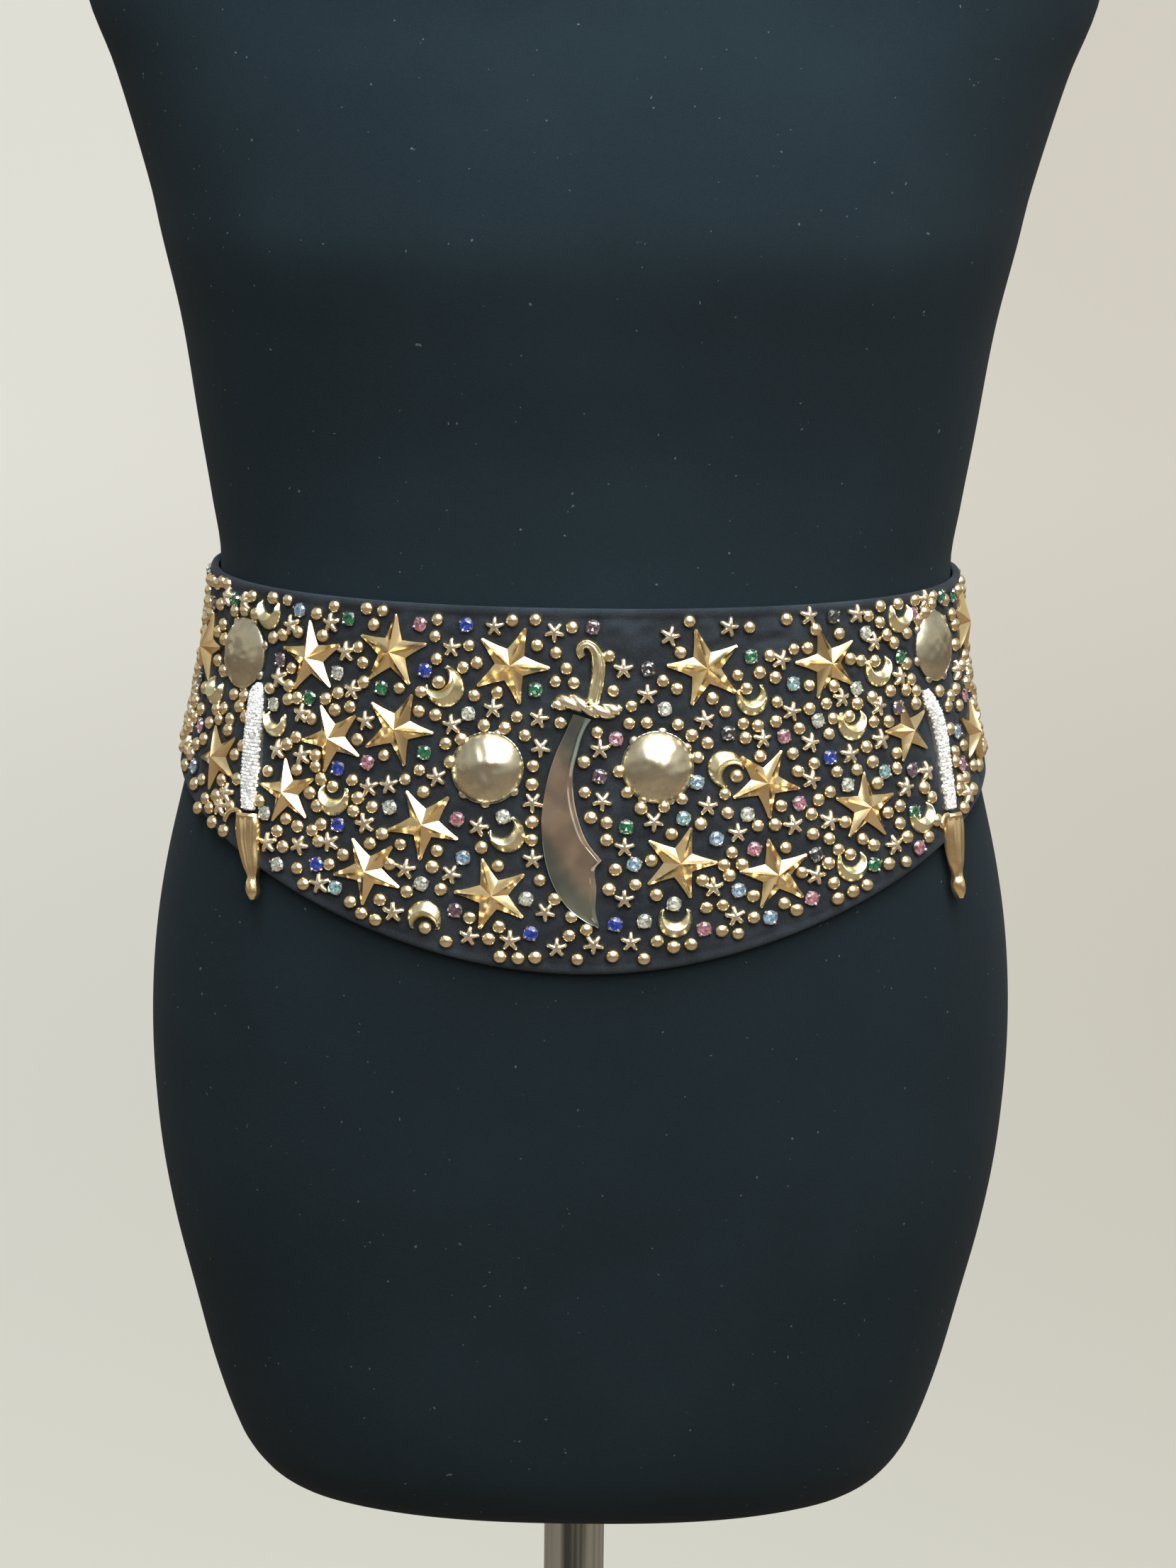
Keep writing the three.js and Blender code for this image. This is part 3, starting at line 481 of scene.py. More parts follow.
def lap_lift(across):
    """How far the outer end of the belt has climbed onto the inner one."""
    end = HALF_GIRTH - LAP / 2 - LAP_LEVEL
    share = np.clip((across - end + LAP_RISE) / LAP_RISE, 0, 1)
    return LAP_STEP * share * share * (3 - 2 * share)


def depth_at(across):
    """The depth of the belt from its top edge to its bottom one."""
    share = 1 - np.minimum(np.abs(across) / DEEP_REACH, 1) ** 2
    return BACK_DEPTH + (FRONT_DEPTH - BACK_DEPTH) * share ** DEEP_FULLNESS


def on_belt(places):
    """Points in metres from places given as across, down, and height over the cloth."""
    across, down, height = np.asarray(places, float).T
    distance = FORM_GAP + CLOTH + height + lap_lift(across)
    return out_from_form(angle_at(across), BELT_TOP - down, distance).reshape(-1, 3) * MM


def put_down(points, across, down, turn=0.0, size=1.0):
    """Places on the belt of a piece's own points, given as right, up and out from its middle."""
    right, up, out = np.asarray(points, float).T
    sine, cosine = math.sin(math.radians(turn)), math.cos(math.radians(turn))
    moved = np.empty((len(right), 3))
    moved[:, 0] = across + size * (right * cosine + up * sine)
    moved[:, 1] = down - size * (up * cosine - right * sine)
    moved[:, 2] = np.where(out > 0, out * size, out)
    return moved


# Shapes

class Shape:
    """Points in millimetres and the faces between them."""

    def __init__(self):
        self.points = []
        self.faces = []

    def rows(self, rows, closed=False):
        """Adds quads between rows of equally many points, all round each row if closed."""
        start = len(self.points)
        count = len(rows[0])
        for row in rows:
            self.points.extend(tuple(point) for point in row)
        for k in range(len(rows) - 1):
            for i in range(count if closed else count - 1):
                a = start + k * count + i
                b = start + k * count + (i + 1) % count
                self.faces.append((a, b, b + count, a + count))

    def lid(self, ring):
        """Closes a ring of points with one face."""
        start = len(self.points)
        self.points.extend(tuple(point) for point in ring)
        self.faces.append(tuple(range(start, start + len(ring))))

    def cone(self, ring, top):
        """Closes a ring of points with triangles to one point."""
        start = len(self.points)
        self.points.extend(tuple(point) for point in ring)
        self.points.append(tuple(top))
        hub = len(self.points) - 1
        for i in range(len(ring)):
            self.faces.append((start + i, start + (i + 1) % len(ring), hub))

    def bar(self, rows):
        """Adds closed rows with a face at each end."""
        self.rows(rows, closed=True)
        self.lid(rows[0])
        self.lid(rows[-1])
        return self

    def crown(self, rows, top):
        """Adds closed rows that end in one point on top, and a face under them."""
        self.rows(rows, closed=True)
        self.cone(rows[-1], top)
        self.lid(rows[0])
        return self

    def welded(self):
        """The points with double ones made one, and the faces that are left."""
        points = np.array(self.points, float)
        _, first, owner = np.unique(np.round(points, 3), axis=0, return_index=True,
                                    return_inverse=True)
        owner = owner.ravel()
        faces = []
        for face in self.faces:
            corners = [int(owner[i]) for i in face]
            corners = [c for k, c in enumerate(corners) if c != corners[k - 1]]
            if len(corners) > 2 and len(set(corners)) == len(corners):
                faces.append(tuple(corners))
        return points[first], faces


def round_angles(sides):
    """Equal turns all round."""
    return 2 * math.pi * np.arange(sides) / sides


def ring_points(radius, height, sides, start=0.0):
    """A ring in a piece's own right, up and out."""
    angles = start + round_angles(sides)
    radius = np.broadcast_to(radius, angles.shape)
    height = np.broadcast_to(height, angles.shape)
    return np.stack([radius * np.sin(angles), radius * np.cos(angles), height], axis=-1)


def star_shape(reach, waist, height, edge, tip, steps, rounded=False, hollow=0.0):
    """A star whose arms have a ridge or a round back, straight sides and blunt ends."""
    shape = Shape()
    outline = []
    for k in range(5):
        halves = []
        for side in (-1, 1):
            corner = np.array([side * reach * waist * math.sin(math.pi / 5),
                               reach * waist * math.cos(math.pi / 5)])
            shoulder = np.array([side * tip, reach - tip])
            rows = []
            for u in np.linspace(0, 1, steps[0] + 1):
                high = height * (1 - u) ** 0.85 + (edge + 0.3) * u
                if rounded:
                    high = height - (height - edge - 0.5) * u ** 3
                ridge = np.array([0.0, u * reach])
                rim = corner * (1 - u) + shoulder * u
                rim[0] -= side * 0.012 * reach * math.sin(math.pi * u)
                row = []
                for v in np.linspace(0, 1, steps[1] + 1):
                    place = ridge * (1 - v) + rim * v
                    if u == 1:
                        bend = v * math.pi / 2
                        place = np.array([side * tip * math.sin(bend),
                                          reach - tip + tip * math.cos(bend)])
                    fall = (1 - v * v) ** 0.38 if rounded else 1 - v
                    dip = hollow * math.sin(math.pi * v) * (1 - u)
                    row.append((place[0], place[1], edge + (high - edge) * fall - dip))
                rows.append(row)
            halves.append(rows)
            shape.rows([turned(row, 2 * math.pi * k / 5) for row in rows])
        left, right = halves
        path = [row[-1] for row in left] + left[-1][-2::-1] + right[-1][1:]
        path += [row[-1] for row in right[-2::-1]]
        outline.extend(turned(path[:-1], 2 * math.pi * k / 5))
    under = [(x, y, SUNK) for x, y, _ in outline]
    shape.rows([outline, under], closed=True)
    shape.lid(under)
    return shape.welded()


def turned(points, angle):
    """Points turned clockwise about a piece's middle."""
    sine, cosine = math.sin(angle), math.cos(angle)
    return [(x * cosine + y * sine, y * cosine - x * sine, z) for x, y, z in points]


def dome_shape(radius, height, sides, rings, wall=0.25):
    """A round stud: a short wall and a domed crown."""
    rows = [ring_points(radius, SUNK, sides), ring_points(radius, wall, sides)]
    for k in range(1, rings):
        lift = math.pi / 2 * k / rings
        rows.append(ring_points(radius * math.cos(lift),
                                wall + (height - wall) * math.sin(lift), sides))
    return Shape().crown(rows, (0, 0, height)).welded()


def resampled(stations, steps, corner=None):
    """Stations with smooth ones in between, and a sharp bend only at the corner's row."""
    stations = np.array(stations, float)
    if corner is not None:
        upper = resampled(stations[:corner + 1], steps)
        lower = resampled(stations[corner:], steps)
        return np.concatenate([upper, lower[1:]])
    spans = np.linalg.norm(np.diff(stations[:, :4], axis=0), axis=1)
    places = np.concatenate([[0], np.cumsum(spans)])
    slopes = np.gradient(stations, places, axis=0)
    rows = []
    for k in range(len(stations) - 1):
        gap = places[k + 1] - places[k]
        for u in np.linspace(0, 1, steps, endpoint=False):
            a = (1 + 2 * u) * (1 - u) ** 2 * stations[k] + u * (1 - u) ** 2 * gap * slopes[k]
            b = u * u * (3 - 2 * u) * stations[k + 1] - u * u * (1 - u) * gap * slopes[k + 1]
            rows.append(a + b)
    rows.append(stations[-1])
    return np.array(rows)


def bar_shape(stations, section, lift=0.0):
    """A bar over the belt. The section gives shares of the width and heights for a station."""
    rows = []
    count = len(stations)
    for k, (left_a, left_d, right_a, right_d, height) in enumerate(stations):
        width = math.hypot(right_a - left_a, right_d - left_d)
        shares, heights = section(width, height, k / (count - 1))
        row = []
        for share, high in zip(shares, heights):
            row.append((left_a + (right_a - left_a) * share, left_d + (right_d - left_d) * share,
                        high if high < 0 else high + SEAT + lift))
        rows.append(row)
    return Shape().bar(rows).welded()


def tube_shape(path, radius, sides=10):
    """A round wire along points given as across, down and height."""
    path = np.array(path, float)
    rows = []
    for k, point in enumerate(path):
        ahead = path[min(k + 1, len(path) - 1)] - path[max(k - 1, 0)]
        ahead /= np.linalg.norm(ahead)
        aside = np.cross(ahead, (0, 0, 1))
        aside /= np.linalg.norm(aside)
        above = np.cross(aside, ahead)
        thick = radius * (1 if 0 < k < len(path) - 1 else 0.55)
        rows.append([point + thick * (math.cos(a) * aside + math.sin(a) * above)
                     for a in round_angles(sides)])
    return Shape().bar(rows).welded()


# Places of the small pieces, those listed and the fill of the hidden sides

def big_obstacles():
    """Circles that the large pieces take up: across, down and radius."""
    circles = []
    for _, across, down, turn, size in LARGE_STARS:
        circles.append((across, down, STAR_HUB * size))
        for k in range(5):
            angle = math.radians(turn + 72 * k)
            for share, radius in STAR_ARM:
                reach = STAR_REACH * size * share
                circles.append((across + reach * math.sin(angle),
                                down - reach * math.cos(angle), radius))
    for _, across, down, radius, _ in CRESCENTS:
        circles.append((across, down, radius + 0.4))
    for _, across, down, _ in DOMES:
        circles.append((across, down, DOME_RADIUS + 1.2))
    for down in PRESS_STUD_DOWNS:
        circles.append((HALF_GIRTH + 1, down, PRESS_STUD_RADIUS + 1))
    bars = [SWORD_BLADE, SWORD_GUARD, SWORD_GRIP, *DAGGER_HANDLES.values(),
            *DAGGER_SHEATHS.values()]
    for stations in bars:
        for left_a, left_d, right_a, right_d, _ in resampled(stations, 3):
            radius = math.hypot(right_a - left_a, right_d - left_d) / 2
            circles.append(((left_a + right_a) / 2, (left_d + right_d) / 2, radius))
    return circles


SMALL_RADII = {"nailhead": 2.6, "small_star": 3.9, "stone": 3.4}


def hand_placed():
    """All listed small pieces: kind, across, down, turn or colour."""
    placed = [("nailhead", across, down, 0) for across, down in NAILHEADS]
    placed += [("small_star", across, down, turn) for across, down, turn in SMALL_STARS]
    for colour, spots in STONES.items():
        placed += [("stone", across, down, colour) for across, down in spots]
    return placed


def filled():
    """Small pieces for the sides and the back, spread as densely as the ones in front."""
    draw = random.Random(FILL_SEED)
    circles = big_obstacles()
    circles += [(a, d, SMALL_RADII[kind]) for kind, a, d, _ in hand_placed()]
    taken = [np.array(circles, float)]
    low, high = -(HALF_GIRTH - LAP / 2 - 4), BELT_REACH - 12
    area = 0
    for across in np.arange(low, high, 2.0):
        if abs(across) > SEEN_REACH:
            area += 2.0 * (float(depth_at(across)) - 8)
    wanted = int(area * FILL_SHARE)
    colours = list(STONES)
    weights = [len(spots) for spots in STONES.values()]
    found = []
    for _ in range(wanted * FILL_TRIES):
        if len(found) >= wanted:
            break
        across = draw.uniform(low, high)
        if abs(across) < SEEN_REACH:
            continue
        kind = draw.choices(list(FILL_MIX), list(FILL_MIX.values()))[0]
        radius = SMALL_RADII[kind]
        down = draw.uniform(radius + 1.4, float(depth_at(across)) - radius - 2.6)
        circles = np.concatenate(taken)
        apart = np.hypot(circles[:, 0] - across, circles[:, 1] - down) - circles[:, 2] - radius
        if apart.min() < FILL_CLEARANCE:
            continue
        detail = draw.choices(colours, weights)[0] if kind == "stone" else draw.uniform(-36, 36)
        found.append((kind, across, down, detail))
        taken.append(np.array([[across, down, radius]]))
    return found


SMALL_PIECES = hand_placed() + filled()


def small_places(kind):
    """Across, down and detail of every small piece of one kind."""
    return [(a, d, detail) for name, a, d, detail in SMALL_PIECES if name == kind]


# The cloth's relief

def soft_noise(across, down, wavelength, seed):
    """A smooth random wave over the cloth, between about -1 and 1."""
    draw = random.Random(seed)
    total = 0
    for _ in range(7):
        angle = draw.uniform(0, math.pi)
        pitch = 2 * math.pi / (wavelength * draw.uniform(0.7, 1.5))
        shift = draw.uniform(0, 2 * math.pi)
        total = total + np.sin(pitch * (across * math.cos(angle) + down * math.sin(angle)) + shift)
    return total / 3.2


def all_creases():
    """The creases in the table, and similar ones on the hidden sides."""
    draw = random.Random(FILL_SEED + 1)
    creases = list(CREASES)
    for k in range(HIDDEN_CREASES):
        side = 1 if k % 2 else -1
        across = side * draw.uniform(150, BELT_REACH - 30)
        creases.append((across, draw.uniform(14, float(depth_at(across)) - 12),
                        draw.uniform(10, 34), draw.uniform(-22, 22), draw.uniform(1.1, 1.9),
                        draw.uniform(0.25, 0.5)))
    return creases


def relief_at(across, down):
    """How far the cloth's face stands out or sinks in, in millimetres."""
    sizes = bpy.context.scene.belt_sizes
    near = np.zeros(across.shape)
    circles = big_obstacles()
    circles += [(a, d, SMALL_RADII[kind]) for kind, a, d, _ in SMALL_PIECES]
    for a, d, radius in circles:
        close = np.abs(across - a) < radius + 4
        gap = np.maximum(np.hypot(across[close] - a, down[close] - d) - radius, 0)
        near[close] = np.maximum(near[close], np.exp(-((gap / PRESS_REACH) ** 2)))
    puff = PUFF + BROAD_PUFF[0] * soft_noise(across, down, BROAD_PUFF[1], 3)
    puff = puff + FINE_PUFF[0] * soft_noise(across * 0.45, down, FINE_PUFF[1], 4)
    relief = puff * (1 - near) - PRESSED * near
    for a, d, length, lean, width, deep in all_creases():
        close = (np.abs(across - a) < length) & (np.abs(down - d) < length)
        sine, cosine = math.sin(math.radians(lean)), math.cos(math.radians(lean))
        along = (across[close] - a) * cosine + (down[close] - d) * sine
        aside = (down[close] - d) * cosine - (across[close] - a) * sine
        aside = aside + 0.9 * np.sin(along / 4.5) + 0.012 * along ** 2
        fade = np.exp(-((along / (0.42 * length)) ** 2))
        trough = -deep * np.exp(-((aside / width) ** 2))
        ridge = 0.55 * deep * np.exp(-(((aside + 2.1 * width) / (1.2 * width)) ** 2))
        relief[close] += sizes.crease_depth * fade * (trough + ridge) * (1 - 0.6 * near[close])
    return relief


# Pieces

def add_piece(name, points, faces, materials, stands_for=(), sharp=None, paint=None):
    """Makes one finished piece from points in metres and hangs it on the frame."""
    mesh = bpy.data.meshes.new(name)
    mesh.from_pydata(np.asarray(points).tolist(), [], faces)
    materials = materials if isinstance(materials, list) else [materials]
    for material in materials:
        mesh.materials.append(material)
    if paint is not None:
        mesh.polygons.foreach_set("material_index", paint)
    body = bmesh.new()
    body.from_mesh(mesh)
    bmesh.ops.recalc_face_normals(body, faces=body.faces)
    body.to_mesh(mesh)
    body.free()
    mesh.shade_smooth()
    if sharp is not None:
        mesh.set_sharp_from_angle(angle=math.radians(sharp))
    piece = bpy.data.objects.new(name, mesh)
    bpy.context.scene.collection.objects.link(piece)
    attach(piece, "root")
    if stands_for:
        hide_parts(*stands_for)
    return piece


def scatter(name, shape, places, material, sharp, tip=0.0):
    """One joined mesh of many like pieces. The places are across, down, turn and size.

    Each piece has its own tone, from 0 to 1, and may be tipped out of true."""
    points, faces = shape
    draw = random.Random(TONE_SEED)
    moved = []
    joined = []
    shades = []
    for k, (across, down, turn, size) in enumerate(places):
        tipped = np.array(points)
        way, slope = draw.uniform(0, 2 * math.pi), tip * draw.random()
        tipped[:, 2] += slope * (tipped[:, 0] * math.cos(way) + tipped[:, 1] * math.sin(way))
        moved.append(put_down(tipped, across, down, turn, size))
        joined.extend(tuple(c + k * len(points) for c in face) for face in faces)
        shades.extend([draw.random()] * len(points))
    piece = add_piece(name, on_belt(np.concatenate(moved)), joined, material, sharp=sharp)
    tone = piece.data.attributes.new("tone", "FLOAT", "POINT")
    tone.data.foreach_set("value", shades)
    return piece


def turned_piece(name, profile, sides, material, node, sharp=40):
    """A piece of the stand, turned about the upright axis, from radii and heights."""
    rows = [ring_points(radius, height, sides) for radius, height in profile]
    points, faces = Shape().bar(rows).welded()
    add_piece(name, points * MM, faces, material, (node,), sharp)


def rounded_corner(radius, height, bend, steps, start, end):
    """Profile points of a corner's arc, from and to angles in degrees, about its middle."""
    return [(radius + bend * math.cos(math.radians(a)), height + bend * math.sin(math.radians(a)))
            for a in np.linspace(start, end, steps)]


def make_form():
    """The dress form's jersey body, with the bore for its pole."""
    angles = np.linspace(0, 2 * math.pi, 144, endpoint=False)
    heights = np.concatenate([np.linspace(FORM_BOTTOM, 718, 14, endpoint=False),
                              np.linspace(718, NECK_TOP, 132)])
    rows = [form_point(angles, height + 0 * angles) for height in heights]
    bore = POLE_RADIUS + POLE_CLEARANCE
    rim = rows[0]
    hole = np.stack([bore * np.sin(angles), -bore * np.cos(angles), rim[:, 2]], axis=-1)
    inward = [rim * (1 - share) + hole * share for share in (1, 0.75, 0.5, 0.25, 0.1)]
    ceiling = hole.copy()
    ceiling[:, 2] = POLE_TOP + POLE_CLEARANCE
    shape = Shape()
    shape.rows([ceiling, *inward, *rows], closed=True)
    shape.lid(ceiling)
    shape.lid(rows[-1])
    points, faces = shape.welded()
    add_piece("jersey_form", points * MM, faces, jersey_material(), ("dress_form",),
              50)


def make_stand():
    """The neck cap, the pole and the round base."""
    chrome = chrome_material()
    low = NECK_TOP + NECK_CAP_GAP
    high = low + NECK_CAP_THICKNESS
    crown = [(r, high - 3 * (r / NECK_CAP_RADIUS) ** 2) for r in (46, 38, 28, 16, 5)]
    profile = [(NECK_CAP_RADIUS - 2, low)]
    profile += rounded_corner(NECK_CAP_RADIUS - 1, low + 1, 1, 5, -90, 0)
    profile += rounded_corner(NECK_CAP_RADIUS - 4, high - 6, 4, 8, 0, 80)
    turned_piece("neck_cap_turned", profile + crown, 96, chrome, "neck_cap")
    profile = [(POLE_RADIUS - 1, POLE_BOTTOM)]
    profile += rounded_corner(POLE_RADIUS - 1, POLE_BOTTOM + 1, 1, 4, -60, 0)
    profile += [(POLE_RADIUS, POLE_BOTTOM + (POLE_TOP - POLE_BOTTOM) * k / 12) for k in range(1, 12)]
    profile += rounded_corner(POLE_RADIUS - 1, POLE_TOP - 1, 1, 4, 0, 60)
    turned_piece("pole_tube", profile, 64, pole_material(), "stand_pole")
    bore = POLE_RADIUS + POLE_CLEARANCE
    profile = [(5, POLE_BOTTOM - POLE_CLEARANCE), (bore, POLE_BOTTOM - POLE_CLEARANCE)]
    profile += [(bore, HUB_TOP)]
    profile += rounded_corner(HUB_RADIUS - 3.5, HUB_TOP - 1.5, 1.5, 5, 90, 0)
    profile += [(HUB_RADIUS, BASE_RISE + 10), (HUB_RADIUS + 1.2, BASE_RISE + 6)]
    profile += [(HUB_RADIUS + 4, BASE_RISE + 2.6), (HUB_RADIUS + 10, BASE_RISE + 1.2)]
    profile += [(HUB_RADIUS + (BASE_RADIUS - HUB_RADIUS) * k / 8, BASE_RISE + 0.9 * (1 - k / 8))
                for k in range(2, 8)]
    profile += rounded_corner(BASE_RADIUS - 3.5, BASE_RISE - 3.5, 3.5, 8, 90, 0)
    profile += [(BASE_RADIUS, 0.6), (BASE_RADIUS - 0.6, 0), (60, 0)]
    turned_piece("base_plate", profile, 144, chrome, "stand_base")


# Distances from an edge of the belt, and how far its two faces stand off the form there
EDGE_FROM = (0, 0.15, 0.5, 1.0, 1.8, 2.8, 3.6, 4.4, 5.5)
EDGE_OUTER = (1.5, 2.2, 2.75, 3.02, 3.1, 2.98, 2.62, 2.45, 2.6)
EDGE_INNER_FROM = (0.15, 0.6, 1.4)
EDGE_INNER = (0.8, 0.2, 0.05)
BAND_ROWS = 78
BAND_COLUMNS = 560


def make_band():
    """The belt's cloth: one shell with rolled edges, creases and dimples, lapped at the back."""
    ends = np.array([0, 0.25, 0.7, 1.5])
    across = np.concatenate([-BELT_REACH + ends,
                             np.linspace(-BELT_REACH + 3, BELT_REACH - 3, BAND_COLUMNS),
                             (BELT_REACH - ends)[::-1]])
    from_end = np.minimum(across + BELT_REACH, BELT_REACH - across)
    plump = 0.35 + 0.65 * np.sqrt(np.clip(from_end / 1.5, 0, 1))
    depth = depth_at(across)[:, None]
    inset = EDGE_FROM[-1]
    share = np.linspace(0, 1, BAND_ROWS + 2)[1:-1][None, :]
    top_edge = np.array(EDGE_FROM)[None, :] + 0 * depth
    middle = inset + (depth - 2 * inset) * share
    down = np.concatenate([top_edge, middle, depth - top_edge[:, ::-1]], axis=1)
    face = np.concatenate([EDGE_OUTER, [CLOTH] * BAND_ROWS, EDGE_OUTER[::-1]])
    wide = across[:, None] + 0 * down
    near_edge = np.minimum(down, depth - down)
    calm = np.clip((near_edge - 2.5) / 3, 0, 1) * np.clip(from_end / 4, 0, 1)[:, None]
    relief = relief_at(wide, down) * calm
    ripple = 0.14 * soft_noise(wide, down, 26, 9) * (1 - calm) * np.clip(near_edge, 0, 1)
    outer = (face[None, :] - 1.3) * plump[:, None] + 1.3 + relief + ripple
    inner_top = np.array(EDGE_INNER_FROM)[None, :] + 0 * depth
    inner_down = np.concatenate([depth - inner_top, depth * 0.66, depth * 0.33,
                                 inner_top[:, ::-1]], axis=1)
    inner = np.array([*EDGE_INNER, 0, 0, *EDGE_INNER[::-1]])[None, :] + 0 * inner_down
    inner = 1.3 - (1.3 - inner) * plump[:, None]
    all_down = np.concatenate([down, inner_down], axis=1)
    all_off = np.concatenate([outer, inner], axis=1) - CLOTH
    all_across = across[:, None] + 0 * all_down
    places = np.stack([all_across.ravel(), all_down.ravel(), all_off.ravel()], axis=-1)
    count = all_down.shape[1]
    columns = len(across)
    i, k = np.meshgrid(np.arange(count), np.arange(columns - 1))
    a = (k * count + i).ravel()
    b = (k * count + (i + 1) % count).ravel()
    faces = np.stack([a, b, b + count, a + count], axis=-1).tolist()
    faces.append(list(range(count)))
    faces.append(list(range((columns - 1) * count, columns * count)))
    piece = add_piece("belt_cloth", on_belt(places), faces, cloth_material(),
                      ("belt_band",), 60)


def make_press_studs():
    """The caps that close the lapped end at the centre back."""
    profile = [(0.96, SUNK), (1, 0.35), (0.985, 0.75), (0.93, 1.1), (0.84, 1.42), (0.74, 1.5),
               (0.7, 1.42), (0.66, 1.62), (0.52, 2.1), (0.34, 2.4), (0.16, 2.52)]
    rows = [ring_points(PRESS_STUD_RADIUS * reach, high, 48) for reach, high in profile]
    points, faces = Shape().crown(rows, (0, 0, 2.56)).welded()
    for k, down in enumerate(PRESS_STUD_DOWNS):
        places = put_down(points, HALF_GIRTH + 1, down)
        add_piece(f"press_cap_{k + 1}", on_belt(places), faces, plate("pale_gold"),
                  (f"press_stud_{k + 1}",), 35)


def make_domes():
    """The four large domes, each with a thin beaded rim and lugs under it."""
    sides = 192
    angles = round_angles(sides)
    for number, (name, across, down, lug_turns) in enumerate(DOMES):
        bead = 0.5 + 0.5 * np.cos(DOME_BEADS * angles)
        edge = DOME_RADIUS - 0.25 + 0.06 * soft_noise(angles * 9, 0 * angles, 6, 30 + number)
        rows = [ring_points(edge - 1.2, SUNK, sides), ring_points(edge - 0.1, SUNK, sides),
                ring_points(edge + 0.12 * bead, 0.5, sides),
                ring_points(edge + 0.04 * bead, 0.9 + 0.2 * bead, sides),
                ring_points(edge - 0.22, 1.0 + 0.25 * bead, sides)]
        crown_radius = DOME_RADIUS - 0.35
        crown = DOME_CROWNS[name.split("_")[0]] + SEAT - 1.0
        sphere = (crown_radius ** 2 + crown ** 2) / (2 * crown)
        for k in range(1, 30):
            lift = math.pi / 2 * (k / 30) ** 0.9
            radius = crown_radius * math.cos(lift)
            x, y = radius * np.sin(angles), radius * np.cos(angles)
            dent = 0.26 * soft_noise(x, y, 11, 40 + number)
            dent = dent + 0.09 * soft_noise(x, y, 4.5, 50 + number)
            cap = math.sqrt(sphere ** 2 - radius ** 2) - sphere + crown
            high = 1.0 + 0.75 * cap + 0.25 * crown * math.sin(lift)
            rows.append(ring_points(radius, high + dent * math.sin(lift), sides))
        shape = Shape().crown(rows, (0, 0, float(np.mean(rows[-1][:, 2])) + 0.02))
        lug_points, lug_faces = dome_shape(2.1, 1.6, 16, 5)
        lugs = []
        for turn in lug_turns:
            angle = math.radians(turn)
            middle = (13.6 * math.sin(angle), 13.6 * math.cos(angle), 0)
            lugs.append((lug_points + middle, lug_faces))
        points, faces, _ = joined_shapes([shape.welded(), *lugs])
        add_piece(f"dome_{name}_polished", on_belt(put_down(points, across, down)), faces,
                  plate("dome", False), (f"dome_{name}",), 50)


def blade_section(width, height, _):
    """A nearly flat blade with a turned rim, and a groove before its cutting edge."""
    scale = min(1, width / 6)
    groove = width - 1.75 * scale
    face = np.linspace(0.55 * scale, groove - 0.7 * scale, 9)
    crown = height * (0.9 + 0.1 * np.sin(np.linspace(0.1, math.pi - 0.2, 9)))
    places = [0, 0.08 * scale, 0.34 * scale, *face, groove - 0.25 * scale, groove,
              width - 0.55 * scale, width - 0.2 * scale, width, width]
    heights = [SUNK, 0.6 * height, 0.98 * height, *crown, 0.72 * height, 0.66 * height,
               1.02 * height, 0.92 * height, 0.5 * height, SUNK]
    return np.array(places) / width, heights


def grip_section(width, height, _):
    """A broad bar with a sloping face on its left and a long groove on its right."""
    share = np.linspace(0, 1, 21)
    rise = np.minimum(np.sin(math.pi * share) ** 0.5, 0.82 + share)
    groove = 0.16 * np.exp(-(((share - 0.74) / 0.05) ** 2))
    return [0, *share[1:-1], 1], [SUNK, *(height * (rise - groove))[1:-1], SUNK]


def guard_section(width, height, along):
    """A twisted rope, seen from its outer side."""
    angles = np.linspace(math.radians(-12), math.radians(192), 29)
    phase = 2.6 * angles - along * 34
    strand = 1 - 0.24 * np.abs(np.sin(phase / 2)) ** 7 - 0.05 * np.abs(np.sin(phase / 2))
    share = 0.5 - 0.5 * np.cos(angles) * strand
    return share, height * np.sin(angles) * strand + np.where(np.sin(angles) < 0, SUNK, 0)


def handle_section(width, height, _):
    """A rounded silver bar."""
    share = np.linspace(0, 1, 13)
    rise = np.sin(math.pi * share) ** 0.6
    return [0, *share[1:-1], 1], [SUNK, *(0.9 * height * rise)[1:-1], SUNK]


def sheath_section(width, height, along):
    """A tapered sheath with long flutes, a banded mouth and a plain ball end."""
    share = np.linspace(0, 1, 29)
    rise = np.sin(math.pi * share) ** 0.6
    body = 1 / (1 + math.exp(-(along - 0.1) * 90)) / (1 + math.exp((along - 0.68) * 60))
    flute = 0.1 * body * (1 - np.abs(np.cos(4.5 * math.pi * share)))
    band = 0.06 * math.exp(-(((along - 0.05) / 0.02) ** 2))
    return [0, *share[1:-1], 1], [SUNK, *(height * rise * (1 - flute + band))[1:-1], SUNK]


def joined_shapes(shapes):
    """Several shapes as one, and the number of faces of each."""
    points = []
    faces = []
    counts = []
    for shape_points, shape_faces in shapes:
        faces.extend(tuple(c + len(points) for c in face) for face in shape_faces)
        points.extend(shape_points)
        counts.append(len(shape_faces))
    return np.array(points), faces, counts


